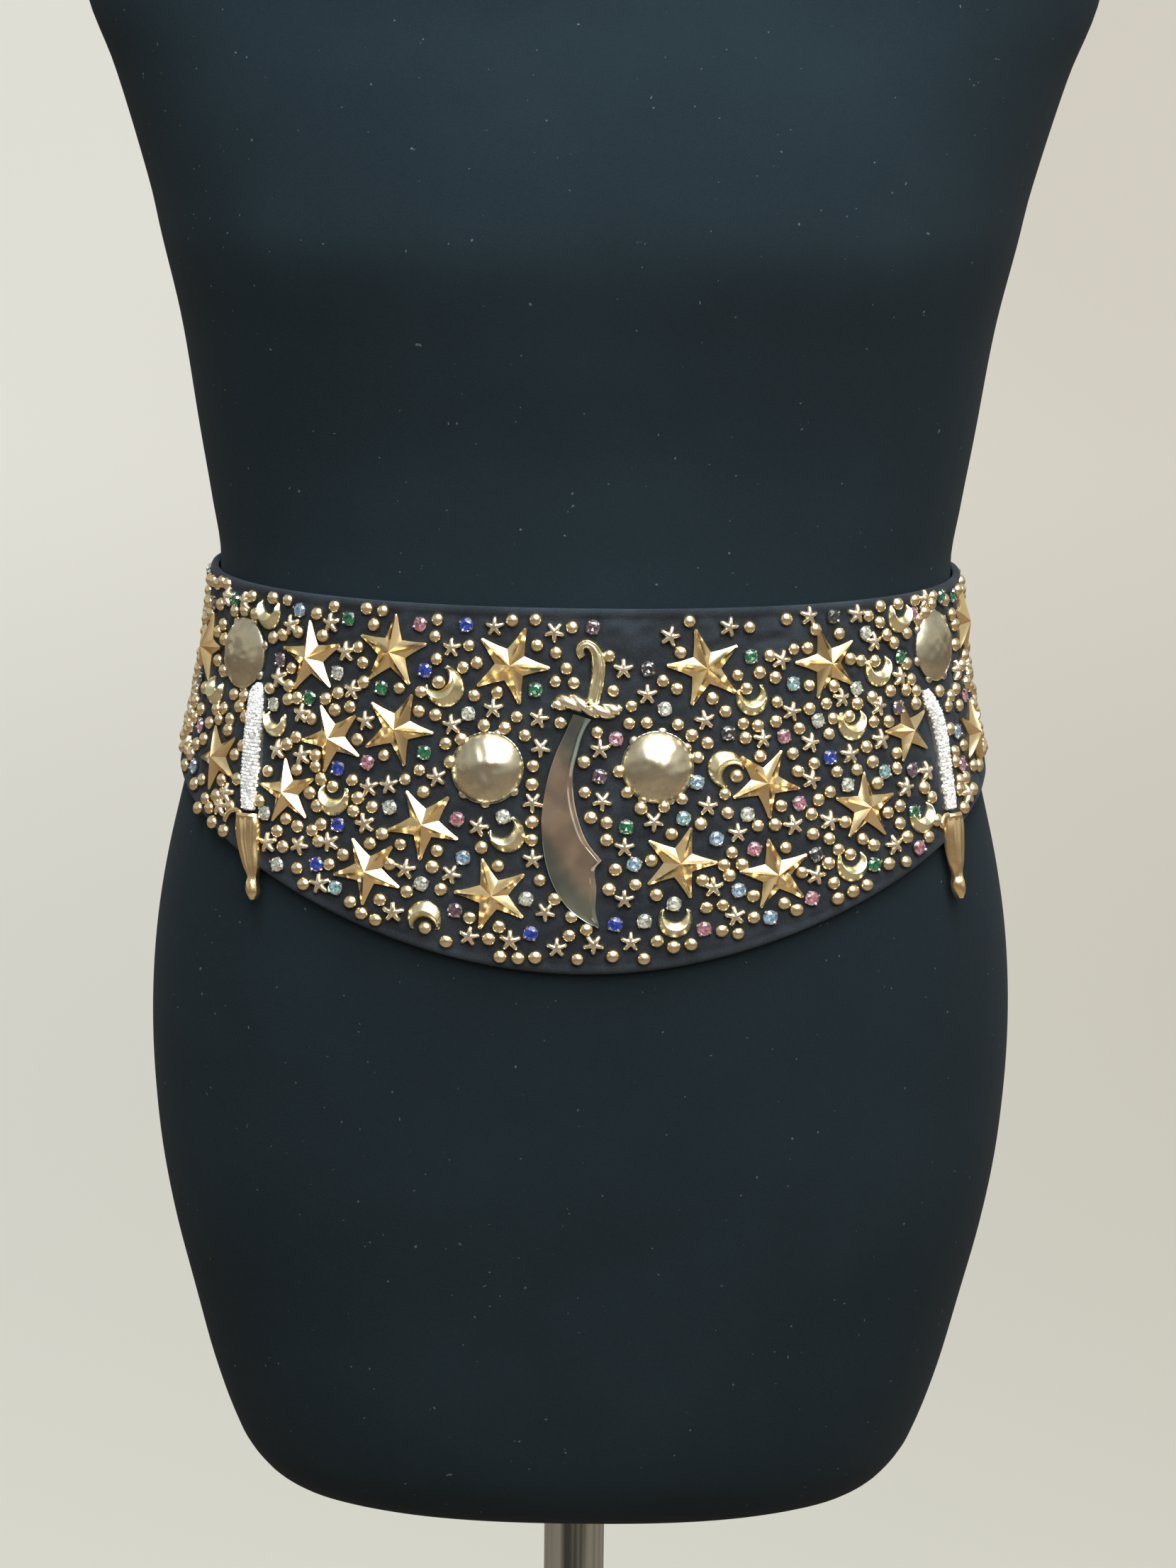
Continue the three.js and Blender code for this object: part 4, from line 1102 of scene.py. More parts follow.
def make_sword():
    """The curved sword in its three pieces."""
    points, faces = bar_shape(resampled(SWORD_BLADE, 10, SWORD_BARB), blade_section)
    # The blade's plate carries a painted reflection: a warm middle, cool ends and an uneven shine.
    add_piece("sword_blade_polished", on_belt(points), faces, plate("blade", False, blade_painted_reflection),
              ("sword_blade",), 28)
    guard = bar_shape(resampled(SWORD_GUARD, 16), guard_section)
    knob = dome_shape(0.75, 5.4, 12, 4, wall=3.4)
    knobs = [(put_down(knob[0], 1.9 + 1.0 * math.sin(t), 36.4 - 1.0 * math.cos(t)), knob[1])
             for t in round_angles(5)]
    points, faces, _ = joined_shapes([guard, *knobs])
    add_piece("sword_guard_twisted", on_belt(points), faces, plate("white_gold"),
              ("sword_guard",), 50)
    points, faces = bar_shape(resampled(SWORD_GRIP, 8), grip_section)
    add_piece("sword_grip_fluted", on_belt(points), faces, plate("olive_gold"),
              ("sword_grip",), 40)


def leaned(points, angle):
    """Points leaned over towards +across by an angle."""
    across = points[:, 0] * math.cos(angle) + points[:, 2] * math.sin(angle)
    high = points[:, 2] * math.cos(angle) - points[:, 0] * math.sin(angle)
    return np.column_stack([across, points[:, 1], high])


def pave_places(stations):
    """Tiny stones in rows over a handle, down both its sides: across, down, height and lean."""
    places = []
    for k, row in enumerate(resampled(stations, 7)[1:-1]):
        left, right, height = np.array(row[:2]), np.array(row[2:4]), row[4]
        width = math.hypot(*(right - left))
        count = max(round((width + 1.5 * height) / PAVE_STEP), 3)
        for i in range(count):
            turn = math.radians(84) * ((2 * i + k % 2 + 0.5) / count - 1)
            share = 0.5 + 0.49 * math.sin(turn)
            high = 0.9 * height * max(math.cos(turn), 0.05) ** 0.7 + SEAT + ROLL
            places.append((*(left + (right - left) * share), high, 0.8 * turn))
    return places


def tiny_stone(draw):
    """One tiny stone with its table set a little askew."""
    stone = Shape()
    spin, lean = draw.uniform(0, 1), draw.uniform(0.1, 0.7)
    way = draw.uniform(0, 2 * math.pi)
    girdle = ring_points(PAVE_RADIUS, -0.35, 7, spin)
    table = ring_points(PAVE_RADIUS * 0.72, 0.32, 7, spin + 0.4)
    table[:, 2] += lean * (table[:, 0] * math.cos(way) + table[:, 1] * math.sin(way))
    stone.rows([girdle, table], closed=True)
    stone.lid(table)
    stone.lid(girdle)
    return stone.welded()


def make_daggers():
    """The two daggers: handles set all over with tiny stones, and fluted sheaths."""
    draw = random.Random(TONE_SEED)
    for side, stations in DAGGER_HANDLES.items():
        shapes = [bar_shape(resampled(stations, 7), handle_section, ROLL)]
        for across, down, high, lean in pave_places(stations):
            points, faces = tiny_stone(draw)
            points = leaned(points, lean) + (0, 0, high)
            shapes.append((put_down(points, across, down), faces))
        points, faces, counts = joined_shapes(shapes)
        paint = [0] * counts[0] + [1] * sum(counts[1:])
        piece = add_piece(f"dagger_{side}_pave_handle", on_belt(points), faces,
                          [silver_material(), crystal_material()],
                          (f"dagger_{side}_handle",), 20, paint)
        # Painted glints: random values that the glass material turns into lighter and darker faces, the
        # lightest mixed with white.
        facets = piece.data.attributes.new("facet", "FLOAT", "FACE")
        facets.data.foreach_set("value", [draw.uniform(0.3, 1.1) for _ in faces])
    for side, stations in DAGGER_SHEATHS.items():
        bar = bar_shape(resampled(stations, 12), sheath_section, ROLL)
        curl = resampled([(a, d, a, d, 0) for a, d in SHEATH_CURLS[side]], 5)[:, :2]
        path = [(a, d, 2.2) for a, d in curl]
        points, faces, _ = joined_shapes([bar, tube_shape(path, 1.1)])
        add_piece(f"dagger_{side}_fluted_sheath", on_belt(points), faces, plate("gold"),
                  (f"dagger_{side}_sheath",), 45)


def make_large_stars():
    """The large stamped stars."""
    shape = star_shape(STAR_REACH, STAR_WAIST - 0.02, STAR_HEIGHT + SEAT, 1.1, 0.7, (16, 8),
                       hollow=0.3)
    for name, across, down, turn, size in LARGE_STARS:
        places = put_down(shape[0], across, down, turn, size)
        add_piece(f"stamped_star_{name}", on_belt(places), shape[1], plate("gold"),
                  (f"star_{name}",), 24)


def make_crescents():
    """The puffy crescents."""
    for name, across, down, radius, turn in CRESCENTS:
        rows = []
        for share in np.linspace(-1, 1, 41):
            outer_turn = math.radians(180 + share * CRESCENT_OUTER_TIP)
            inner_turn = math.radians(180 + share * CRESCENT_INNER_TIP)
            reach = radius * (1 + CRESCENT_SPREAD * abs(share) ** 5)
            outer = reach * np.array([math.sin(outer_turn), math.cos(outer_turn)])
            inner = radius * CRESCENT_INNER * np.array([math.sin(inner_turn), math.cos(inner_turn)])
            inner[1] += radius * CRESCENT_SHIFT
            height = (CRESCENT_HEIGHT + SEAT) * (1 - 0.42 * share ** 2) * (1 - share ** 16)
            row = []
            for part in np.linspace(0, 1, 19):
                x, y = outer * (1 - part) + inner * part
                slope = min(part / 0.52, (1 - part) / 0.42, 1)
                rise = 0.8 * slope + 0.2 * math.sqrt(1 - (1 - slope) ** 2)
                row.append((x, y, 0.55 + (height - 0.55) * rise * (1 - share ** 16)))
            rows.append([(*outer, SUNK), *row, (*inner, SUNK)])
        points, faces = Shape().bar(rows).welded()
        add_piece(f"puffed_crescent_{name}", on_belt(put_down(points, across, down, turn)), faces,
                  plate("olive_gold"), (f"crescent_{name}",), 32)


def make_small_stars():
    """All the small stars, as one joined mesh."""
    draw = random.Random(TONE_SEED)
    reach = bpy.context.scene.belt_sizes.small_star / MM / 2
    shape = star_shape(reach, 0.45, 2.6, 0.8, 0.98, (4, 4), rounded=True)
    places = [(a, d, turn, draw.uniform(0.96, 1.04)) for a, d, turn in small_places("small_star")]
    scatter("small_stars", shape, places, plate("white_gold"), 60, tip=0.12)


def make_nailheads():
    """All the nailheads, as one joined mesh."""
    draw = random.Random(TONE_SEED)
    radius = bpy.context.scene.belt_sizes.nailhead / MM / 2
    shape = dome_shape(radius, radius * 1.02, 16, 7, wall=0.45)
    places = [(a, d, draw.uniform(0, 20), draw.uniform(0.95, 1.05))
              for a, d, _ in small_places("nailhead")]
    scatter("nailheads", shape, places, plate("pale_gold"), 60, tip=0.16)


def stone_shape(radius):
    """A foiled round stone, with a sunk table that shows the facets behind it."""
    shape = Shape()
    eighth = 2 * math.pi / 8
    table = ring_points(radius * 0.52, 2.25, 8, eighth / 2)
    crown = ring_points(radius * 0.8, 1.95, 8)
    girdle = ring_points(radius, 1.35, 16)
    low = ring_points(radius * 0.96, 0.4, 16)
    shape.cone(table, (0, 0, 1.9))
    for k in range(8):
        shape.lid([table[k - 1], table[k], crown[k]])
        shape.lid([table[k], crown[(k + 1) % 8], crown[k]])
        shape.lid([crown[k], crown[(k + 1) % 8], girdle[(2 * k + 1) % 16]])
        shape.lid([crown[k], girdle[(2 * k + 1) % 16], girdle[2 * k]])
        shape.lid([crown[k], girdle[2 * k], girdle[2 * k - 1]])
    shape.rows([girdle, low], closed=True)
    shape.lid(low)
    return shape.welded()


def setting_shape(radius):
    """A cup with four claws bent over the stone's edge."""
    cup = [(0.86, SUNK), (0.94, 0.4), (1.03, 0.9), (1.02, 1.15), (0.97, 1.1), (0.9, 0.6)]
    rows = [ring_points(radius * reach, high, 24) for reach, high in cup]
    parts = [Shape().bar(rows).welded()]
    claw = [(1.12, 0.4, 0.5), (1.2, 1.5, 0.5), (1.06, 2.25, 0.46), (0.82, 2.35, 0.32)]
    rows = []
    for reach, high, half in claw:
        r = radius * reach
        rows.append([(-half, r, high), (half, r, high), (half * 0.8, r - 0.35, high - 0.3),
                     (-half * 0.8, r - 0.35, high - 0.3)])
    points, faces = Shape().bar(rows).welded()
    for k in range(4):
        parts.append((np.array(turned(points, math.pi / 4 + k * math.pi / 2)), faces))
    points, faces, _ = joined_shapes(parts)
    return points, faces


def make_stones():
    """The round stones of each colour, and their claw settings."""
    draw = random.Random(TONE_SEED)
    colours = bpy.context.scene.belt_colours
    radius = bpy.context.scene.belt_sizes.stone / MM / 2
    stone = stone_shape(radius)
    turns = {}
    for colour in STONES:
        places = []
        for across, down, detail in small_places("stone"):
            if detail == colour:
                turn = draw.uniform(-25, 25)
                turns[across, down] = turn
                places.append((across, down, turn, 1.0))
        material = stone_material(colour, tuple(getattr(colours, colour)))
        piece = scatter(f"stones_{colour}", stone, places, material, 2)
        facets = piece.data.attributes.new("facet", "FLOAT", "FACE")
        shades = []
        for face in piece.data.polygons:
            # Painted light: faces that look down get higher values, which the glass makes lighter, and
            # faces that look up darker ones, with a random spread.
            shades.append(0.38 - 0.55 * face.normal.z + draw.uniform(-0.3, 0.3))
        facets.data.foreach_set("value", shades)
    places = [(a, d, turns[a, d], 1.0) for a, d, _ in small_places("stone")]
    scatter("stone_settings", setting_shape(radius), places, silver_material(),
            35)


# Shader groups

def add_node(tree, kind, **values):
    """A node with its properties, and with socket values given as a dict called inputs."""
    node = tree.nodes.new(kind)
    for name, value in values.pop("inputs", {}).items():
        node.inputs[name].default_value = value
    for name, value in values.items():
        setattr(node, name, value)
    return node


def new_group(name, inputs, outputs):
    """A shader node group with its sockets, and its two end nodes."""
    tree = bpy.data.node_groups.new(name, "ShaderNodeTree")
    for label, kind, value in inputs:
        socket = tree.interface.new_socket(label, in_out="INPUT", socket_type=kind)
        socket.default_value = value
    for label, kind in outputs:
        tree.interface.new_socket(label, in_out="OUTPUT", socket_type=kind)
    return tree, tree.nodes.new("NodeGroupInput"), tree.nodes.new("NodeGroupOutput")


def noise(tree, place, scale, detail=3.0, roughness=0.55):
    """A noise texture over the piece's own coordinates."""
    node = add_node(tree, "ShaderNodeTexNoise",
                    inputs={"Detail": detail, "Roughness": roughness})
    if isinstance(scale, float):
        node.inputs["Scale"].default_value = scale
    else:
        tree.links.new(scale, node.inputs["Scale"])
    tree.links.new(place, node.inputs["Vector"])
    return node.outputs["Fac"]


def ranged(tree, value, low, high, to_low=0.0, to_high=1.0):
    """A value stretched from one range to another and held inside it."""
    node = add_node(tree, "ShaderNodeMapRange", interpolation_type="SMOOTHSTEP",
                    inputs={"From Min": low, "From Max": high, "To Min": to_low,
                            "To Max": to_high})
    tree.links.new(value, node.inputs["Value"])
    return node.outputs["Result"]


def mixed(tree, share, first, second, blend="MIX"):
    """Two colours mixed by a share. Each may be a socket or a colour."""
    node = add_node(tree, "ShaderNodeMix", data_type="RGBA", blend_type=blend)
    sockets = {"Factor": node.inputs[0], "A": node.inputs[6], "B": node.inputs[7]}
    for name, value in (("Factor", share), ("A", first), ("B", second)):
        if isinstance(value, bpy.types.NodeSocket):
            tree.links.new(value, sockets[name])
        else:
            sockets[name].default_value = value
    return node.outputs[2]


def worked(tree, operation, first, second):
    """The result of a math node on sockets or numbers."""
    node = add_node(tree, "ShaderNodeMath", operation=operation)
    for socket, value in zip(node.inputs, (first, second)):
        if isinstance(value, bpy.types.NodeSocket):
            tree.links.new(value, socket)
        else:
            socket.default_value = value
    return node.outputs[0]


def coordinates(tree, output="Object"):
    """The place on the surface, and its three parts."""
    place = add_node(tree, "ShaderNodeTexCoord").outputs[output]
    split = add_node(tree, "ShaderNodeSeparateXYZ")
    tree.links.new(place, split.inputs["Vector"])
    return place, *split.outputs


def tarnish_group():
    """Soft dull patches and fine scratches of handled metal."""
    found = bpy.data.node_groups.get("Handled metal")
    if found:
        return found
    tree, enter, leave = new_group(
        "Handled metal",
        [("Bright", "NodeSocketColor", (1, 1, 1, 1)), ("Dull", "NodeSocketColor", (0, 0, 0, 1)),
         ("Amount", "NodeSocketFloat", 0.5), ("Roughness", "NodeSocketFloat", 0.2),
         ("Patch Scale", "NodeSocketFloat", 90.0)],
        [("Color", "NodeSocketColor"), ("Roughness", "NodeSocketFloat"),
         ("Height", "NodeSocketFloat")])
    place = add_node(tree, "ShaderNodeTexCoord").outputs["Object"]
    patches = ranged(tree, noise(tree, place, enter.outputs["Patch Scale"]), 0.42, 0.7)
    specks = ranged(tree, noise(tree, place, 900.0, 2.0), 0.56, 0.74)
    wear = worked(tree, "MAXIMUM", patches, worked(tree, "MULTIPLY", specks, 0.6))
    wear = worked(tree, "MULTIPLY", wear, enter.outputs["Amount"])
    colour = mixed(tree, wear, enter.outputs["Bright"], enter.outputs["Dull"])
    rough = worked(tree, "MULTIPLY_ADD", wear, 0.22)
    tree.links.new(enter.outputs["Roughness"], rough.node.inputs[2])
    stretch = add_node(tree, "ShaderNodeMapping", inputs={"Scale": (1.0, 1.0, 0.12)})
    tree.links.new(place, stretch.inputs["Vector"])
    hairs = noise(tree, stretch.outputs["Vector"], 2600.0, 2.0, 0.7)
    height = worked(tree, "ADD", worked(tree, "MULTIPLY", hairs, 0.35), noise(tree, place, 260.0))
    tree.links.new(colour, leave.inputs["Color"])
    tree.links.new(rough, leave.inputs["Roughness"])
    tree.links.new(height, leave.inputs["Height"])
    return tree


def nap_group():
    """The grain of a napped or knitted cloth, with lighter rubbed places."""
    found = bpy.data.node_groups.get("Cloth grain")
    if found:
        return found
    tree, enter, leave = new_group(
        "Cloth grain",
        [("Deep", "NodeSocketColor", (0, 0, 0, 1)), ("Rubbed", "NodeSocketColor", (1, 1, 1, 1)),
         ("Grain Scale", "NodeSocketFloat", 1500.0), ("Patch Scale", "NodeSocketFloat", 60.0),
         ("Contrast", "NodeSocketFloat", 0.6)],
        [("Color", "NodeSocketColor"), ("Height", "NodeSocketFloat"),
         ("Mask", "NodeSocketFloat")])
    place = add_node(tree, "ShaderNodeTexCoord").outputs["Object"]
    grain = noise(tree, place, enter.outputs["Grain Scale"], 4.0, 0.7)
    patch = noise(tree, place, enter.outputs["Patch Scale"], 3.0, 0.6)
    mask = worked(tree, "ADD", worked(tree, "MULTIPLY", ranged(tree, grain, 0.36, 0.68), 0.6),
                  worked(tree, "MULTIPLY", ranged(tree, patch, 0.35, 0.7), 0.4))
    colour = mixed(tree, worked(tree, "MULTIPLY", mask, enter.outputs["Contrast"]),
                   enter.outputs["Deep"], enter.outputs["Rubbed"])
    tree.links.new(colour, leave.inputs["Color"])
    tree.links.new(grain, leave.inputs["Height"])
    tree.links.new(mask, leave.inputs["Mask"])
    return tree


# Materials

def new_material(name, group=None, values=None, **settings):
    """A material with its shader's own values, and a placed group that feeds it."""
    material = bpy.data.materials.new(name)
    material.use_nodes = True
    tree = material.node_tree
    shader = tree.nodes["Principled BSDF"]
    for socket, value in settings.items():
        shader.inputs[socket.replace("_", " ")].default_value = value
    placed = None
    if group is not None:
        placed = tree.nodes.new("ShaderNodeGroup")
        placed.node_tree = group
        for socket, value in values.items():
            placed.inputs[socket].default_value = value
        tree.links.new(placed.outputs["Color"], shader.inputs["Base Color"])
    return material, tree, shader, placed


def add_bump(tree, shader, height, strength, distance):
    """A bump from a height socket to the shader's normal."""
    bump = add_node(tree, "ShaderNodeBump", inputs={"Strength": strength, "Distance": distance})
    tree.links.new(height, bump.inputs["Height"])
    tree.links.new(bump.outputs["Normal"], shader.inputs["Normal"])


def shaded(colour, factor):
    """A colour made darker or lighter, with its alpha."""
    return (*(min(channel * factor, 1.0) for channel in colour[:3]), 1.0)


def metal(name, colour, dull, roughness, amount, scale, by_tone=True, shades=None):
    """A plated metal, duller in patches, and from piece to piece if by its tone.

    The shades, a function of the node tree, are colours that its own is multiplied by: painted
    reflections, on the blade and the pole."""
    found = bpy.data.materials.get(name)
    if found:
        return found
    material, tree, shader, worn = new_material(
        name, tarnish_group(),
        {"Bright": colour, "Dull": dull, "Amount": amount, "Roughness": roughness,
         "Patch Scale": scale}, Metallic=1.0)
    tree.links.new(worn.outputs["Roughness"], shader.inputs["Roughness"])
    plated = worn.outputs["Color"]
    if by_tone:
        tone = add_node(tree, "ShaderNodeAttribute", attribute_name="tone")
        plated = mixed(tree, worked(tree, "MULTIPLY", tone.outputs["Fac"], 0.3), plated, dull)
    # Painted reflections: the base colour multiplied by the shades.
    for shade in shades(tree) if shades else ():
        plated = mixed(tree, 1.0, plated, shade, "MULTIPLY")
    tree.links.new(plated, shader.inputs["Base Color"])
    add_bump(tree, shader, worn.outputs["Height"], 0.15, 0.0001)
    return material


# Plated metals by their colour: the material's name, how dark its dull patches are, its
# roughness, and the amount and scale of the patches
PLATES = {
    "gold": ("yellow_gold_plate", 0.62, 0.2, 0.45, 120.0),
    "pale_gold": ("pale_gold_plate", 0.7, 0.24, 0.4, 160.0),
    "white_gold": ("white_gold_plate", 0.68, 0.25, 0.4, 160.0),
    "olive_gold": ("olive_gold_plate", 0.7, 0.24, 0.5, 140.0),
    "dome": ("dome_plate", 0.45, 0.27, 0.75, 120.0),
    "blade": ("blade_plate", 0.7, 0.1, 0.45, 70.0),
}


def plate(kind, by_tone=True, shades=None):
    """The plated metal of one colour."""
    name, dull, roughness, amount, scale = PLATES[kind]
    colour = tuple(getattr(bpy.context.scene.belt_colours, kind))
    return metal(name, colour, shaded(colour, dull), roughness, amount, scale, by_tone, shades)


def blade_painted_reflection(tree):
    """Painted reflection: cool ends with a warm middle that leans over the blade, and an uneven painted
    shine.
    """
    place, right, _, up = coordinates(tree)
    # Painted reflection: these colours multiply the blade's plate, warm across its middle and uneven all
    # over.
    leaning = worked(tree, "ADD", up, worked(tree, "MULTIPLY", right, 1.3))
    wavy = worked(tree, "ADD", leaning, worked(tree, "MULTIPLY", noise(tree, place, 70.0), 0.02))
    low = ranged(tree, wavy, 0.972, 0.986)
    high = ranged(tree, wavy, 1.014, 1.024, 1.0, 0.0)
    warm = worked(tree, "MULTIPLY", low, high)
    uneven = ranged(tree, noise(tree, place, 55.0, 2.0), 0.4, 0.64)
    return (mixed(tree, warm, (0.6, 0.77, 0.88, 1), (1.24, 1.16, 1.2, 1)),
            mixed(tree, uneven, (0.84, 0.86, 0.88, 1), (1.25, 1.24, 1.22, 1)))


def pole_painted_reflection(tree):
    """Painted reflection: lighter and darker bands along the pole, standing in for a room mirrored in
    it.
    """
    stretch = add_node(tree, "ShaderNodeMapping", inputs={"Scale": (1.0, 1.0, 0.01)})
    tree.links.new(add_node(tree, "ShaderNodeTexCoord").outputs["Object"],
                   stretch.inputs["Vector"])
    band = ranged(tree, noise(tree, stretch.outputs["Vector"], 150.0, 2.0), 0.42, 0.62)
    return [mixed(tree, band, (0.13, 0.15, 0.14, 1), (0.7, 0.76, 0.74, 1))]


def silver_material():
    """The silver of the settings and the handles."""
    return metal("setting_silver", (0.82, 0.81, 0.78, 1), (0.5, 0.48, 0.44, 1), 0.22, 0.4, 200.0)


def chrome_material():
    """The polished chrome of the base and the neck cap."""
    return metal("stand_chrome", (0.6, 0.61, 0.62, 1), (0.4, 0.41, 0.42, 1), 0.08, 0.3, 12.0,
                 False)


def pole_material():
    """The pole's polished chrome, with painted reflection bands along it."""
    return metal("pole_chrome", (0.79, 0.8, 0.82, 1), (0.6, 0.61, 0.63, 1), 0.08, 0.3, 12.0,
                 False, pole_painted_reflection)


def crystal_material():
    """The clear glass of the handles' tiny stones."""
    return stone_material("pave_crystal", (0.92, 0.92, 0.9, 1))


def stone_material(name, colour):
    """A foiled glass stone with painted light: darker, painted shade on some facets and lighter ones
    with a painted white glint on others.
    """
    name = f"glass_{name}"
    found = bpy.data.materials.get(name)
    if found:
        return found
    material, tree, shader, _ = new_material(
        name, Metallic=0.25, Roughness=0.08, Specular_IOR_Level=0.7, Coat_Weight=1.0,
        Coat_Roughness=0.03)
    facet = add_node(tree, "ShaderNodeAttribute", attribute_name="facet")
    # Painted shade on the low values and a painted glint, lightened and mixed with white, on the high
    # ones.
    deep = mixed(tree, ranged(tree, facet.outputs["Fac"], 0.1, 0.6), shaded(colour, 0.3), colour)
    bright = mixed(tree, 0.4, shaded(colour, 2.2), (1, 1, 1, 1))
    tint = mixed(tree, ranged(tree, facet.outputs["Fac"], 0.68, 0.95), deep, bright)
    tree.links.new(tint, shader.inputs["Base Color"])
    return material


def cloth_material():
    """The belt's bluish-black cloth with its slight nap."""
    colour = tuple(bpy.context.scene.belt_colours.cloth)
    material, tree, shader, grain = new_material(
        "napped_cloth", nap_group(),
        {"Deep": shaded(colour, 0.5), "Rubbed": shaded(colour, 2.0), "Grain Scale": 2400.0,
         "Patch Scale": 45.0, "Contrast": 0.8},
        Roughness=0.92, Specular_IOR_Level=0.15, Sheen_Weight=0.1, Sheen_Roughness=0.4,
        Sheen_Tint=(0.6, 0.66, 0.8, 1))
    add_bump(tree, shader, grain.outputs["Height"], 0.55, 0.0005)
    return material


def jersey_material():
    """The dress form's fine black jersey, with its knit and a little lint."""
    colour = tuple(bpy.context.scene.belt_colours.jersey)
    material, tree, shader, grain = new_material(
        "fine_jersey", nap_group(),
        {"Deep": shaded(colour, 0.75), "Rubbed": shaded(colour, 1.5), "Grain Scale": 1900.0,
         "Patch Scale": 9.0, "Contrast": 0.6},
        Roughness=0.85, Specular_IOR_Level=0.07, Sheen_Weight=0.02, Sheen_Roughness=0.5)
    place = add_node(tree, "ShaderNodeTexCoord").outputs["Object"]
    lint = ranged(tree, noise(tree, place, 420.0, 1.0), 0.765, 0.8)
    colour = mixed(tree, worked(tree, "MULTIPLY", lint, 0.5), grain.outputs["Color"],
                   (0.16, 0.17, 0.18, 1))
    tree.links.new(colour, shader.inputs["Base Color"])
    add_bump(tree, shader, grain.outputs["Height"], 0.35, 0.0003)
    return material


# The stage

CAMERA_PLACE = (0.002, -2.2, 1.44)
CAMERA_AIM = (0.002, 0.0, 0.985)
CAMERA_LENS = 126.7
CAMERA_SENSOR = 36.0
CAMERA_LEAN = 0.7


def add_camera():
    """The camera at the photo's place, with its slight lean."""
    data = bpy.data.cameras.new("camera")
    data.lens = CAMERA_LENS
    data.sensor_width = CAMERA_SENSOR
    data.sensor_fit = "AUTO"
    data.clip_end = 100
    camera = bpy.data.objects.new("camera", data)
    bpy.context.scene.collection.objects.link(camera)
    aim = Vector(CAMERA_AIM) - Vector(CAMERA_PLACE)
    turn = aim.to_track_quat("-Z", "Y").to_matrix().to_4x4()
    camera.matrix_world = (Matrix.Translation(CAMERA_PLACE) @ turn
                           @ Matrix.Rotation(math.radians(CAMERA_LEAN), 4, "Z"))
    bpy.context.scene.camera = camera


# Lamps: name, place, the point that they look at, diameter, power, colour, and whether they light
# the cloth and whether they shine in the metal
LAMPS = [
    ("key_lamp", (0.5, -1.3, 2.7), (0, 0, 1), 2.9, 74, (1, 0.99, 0.97), True, True),
    ("shine_lamp", (0.4, -1.5, 2.5), (0, 0, 1), 1.7, 70, (1, 1, 1), False, True),
    ("chest_lamp_left", (-0.36, -0.5, 2.4), (-0.18, -0.1, 1.25), 0.35, 9.5, (0.55, 0.86, 1),
     True, False),
    ("chest_lamp_right", (0.3, -0.5, 2.4), (0.15, -0.1, 1.25), 0.35, 9.5, (0.55, 0.86, 1),
     True, False),
]


def add_lamp(name, place, aim, size, power, colour, lights, shines):
    """A round soft lamp that the camera doesn't see."""
    data = bpy.data.lights.new(name, "AREA")
    data.shape = "DISK"
    data.size = size
    data.energy = power
    data.color = colour
    light = bpy.data.objects.new(name, data)
    light.location = place
    light.rotation_mode = "QUATERNION"
    light.rotation_quaternion = (Vector(aim) - Vector(place)).to_track_quat("-Z", "Y")
    light.visible_camera = False
    light.visible_diffuse = lights
    light.visible_glossy = shines
    bpy.context.scene.collection.objects.link(light)


def add_floor():
    """A wide plain pale floor with painted light and shade: lighter far behind the belt and darker to
    the right, and painted dark brown for every ray but the camera's, so that the metal mirrors it dark.
    """
    half = 40.0
    mesh = bpy.data.meshes.new("floor")
    mesh.from_pydata([(-half, -half, 0), (half, -half, 0), (half, half, 0), (-half, half, 0)],
                     [], [(0, 1, 2, 3)])
    material, tree, shader, _ = new_material("pale_floor", Roughness=0.9,
                                             Specular_IOR_Level=0.0)
    _, x, y, _ = coordinates(tree)
    pale = tuple(bpy.context.scene.belt_colours.floor)
    # Painted light and shade: the floor's colour grows lighter far behind the belt and darker to the
    # right.
    far = ranged(tree, y, 1.2, 8.0)
    right = ranged(tree, x, -1.3, 1.3)
    painted_falloff = mixed(tree, far, shaded(pale, 0.86), shaded(pale, 1.2))
    painted_falloff = mixed(tree, right, painted_falloff, mixed(tree, 1.0, painted_falloff, (0.87, 0.84, 0.8, 1), "MULTIPLY"))
    # Painted reflection: rays other than the camera's, as in the metal's reflections, see the floor dark
    # brown.
    seen = add_node(tree, "ShaderNodeLightPath").outputs["Is Camera Ray"]
    colour = mixed(tree, seen, (0.26, 0.2, 0.15, 1), painted_falloff)
    tree.links.new(colour, shader.inputs["Base Color"])
    mesh.materials.append(material)
    floor = bpy.data.objects.new("floor", mesh)
    bpy.context.scene.collection.objects.link(floor)


def set_world():
    """Soft light from above, less of it in the metal, with a dim room in front and a pale one
    behind and beside."""
    world = bpy.data.worlds.new("studio")
    bpy.context.scene.world = world
    world.use_nodes = True
    tree = world.node_tree
    background = tree.nodes["Background"]
    _, x, y, z = coordinates(tree, "Generated")
    behind = ranged(tree, y, -0.1, 0.7)
    above = ranged(tree, z, 0.05, 0.95)
    beside = ranged(tree, worked(tree, "ABSOLUTE", x, 0.0), 0.4, 0.85)
    around = worked(tree, "MAXIMUM", behind, beside)
    level = mixed(tree, around, (0.2, 0.165, 0.135, 1), (0.62, 0.58, 0.5, 1))
    mirrored = add_node(tree, "ShaderNodeLightPath").outputs["Is Glossy Ray"]
    ceiling = mixed(tree, mirrored, (1.0, 1.05, 1.13, 1), (0.42, 0.43, 0.42, 1))
    sky = mixed(tree, above, level, ceiling)
    tree.links.new(sky, background.inputs["Color"])
    background.inputs["Strength"].default_value = 1.0


# The add-on

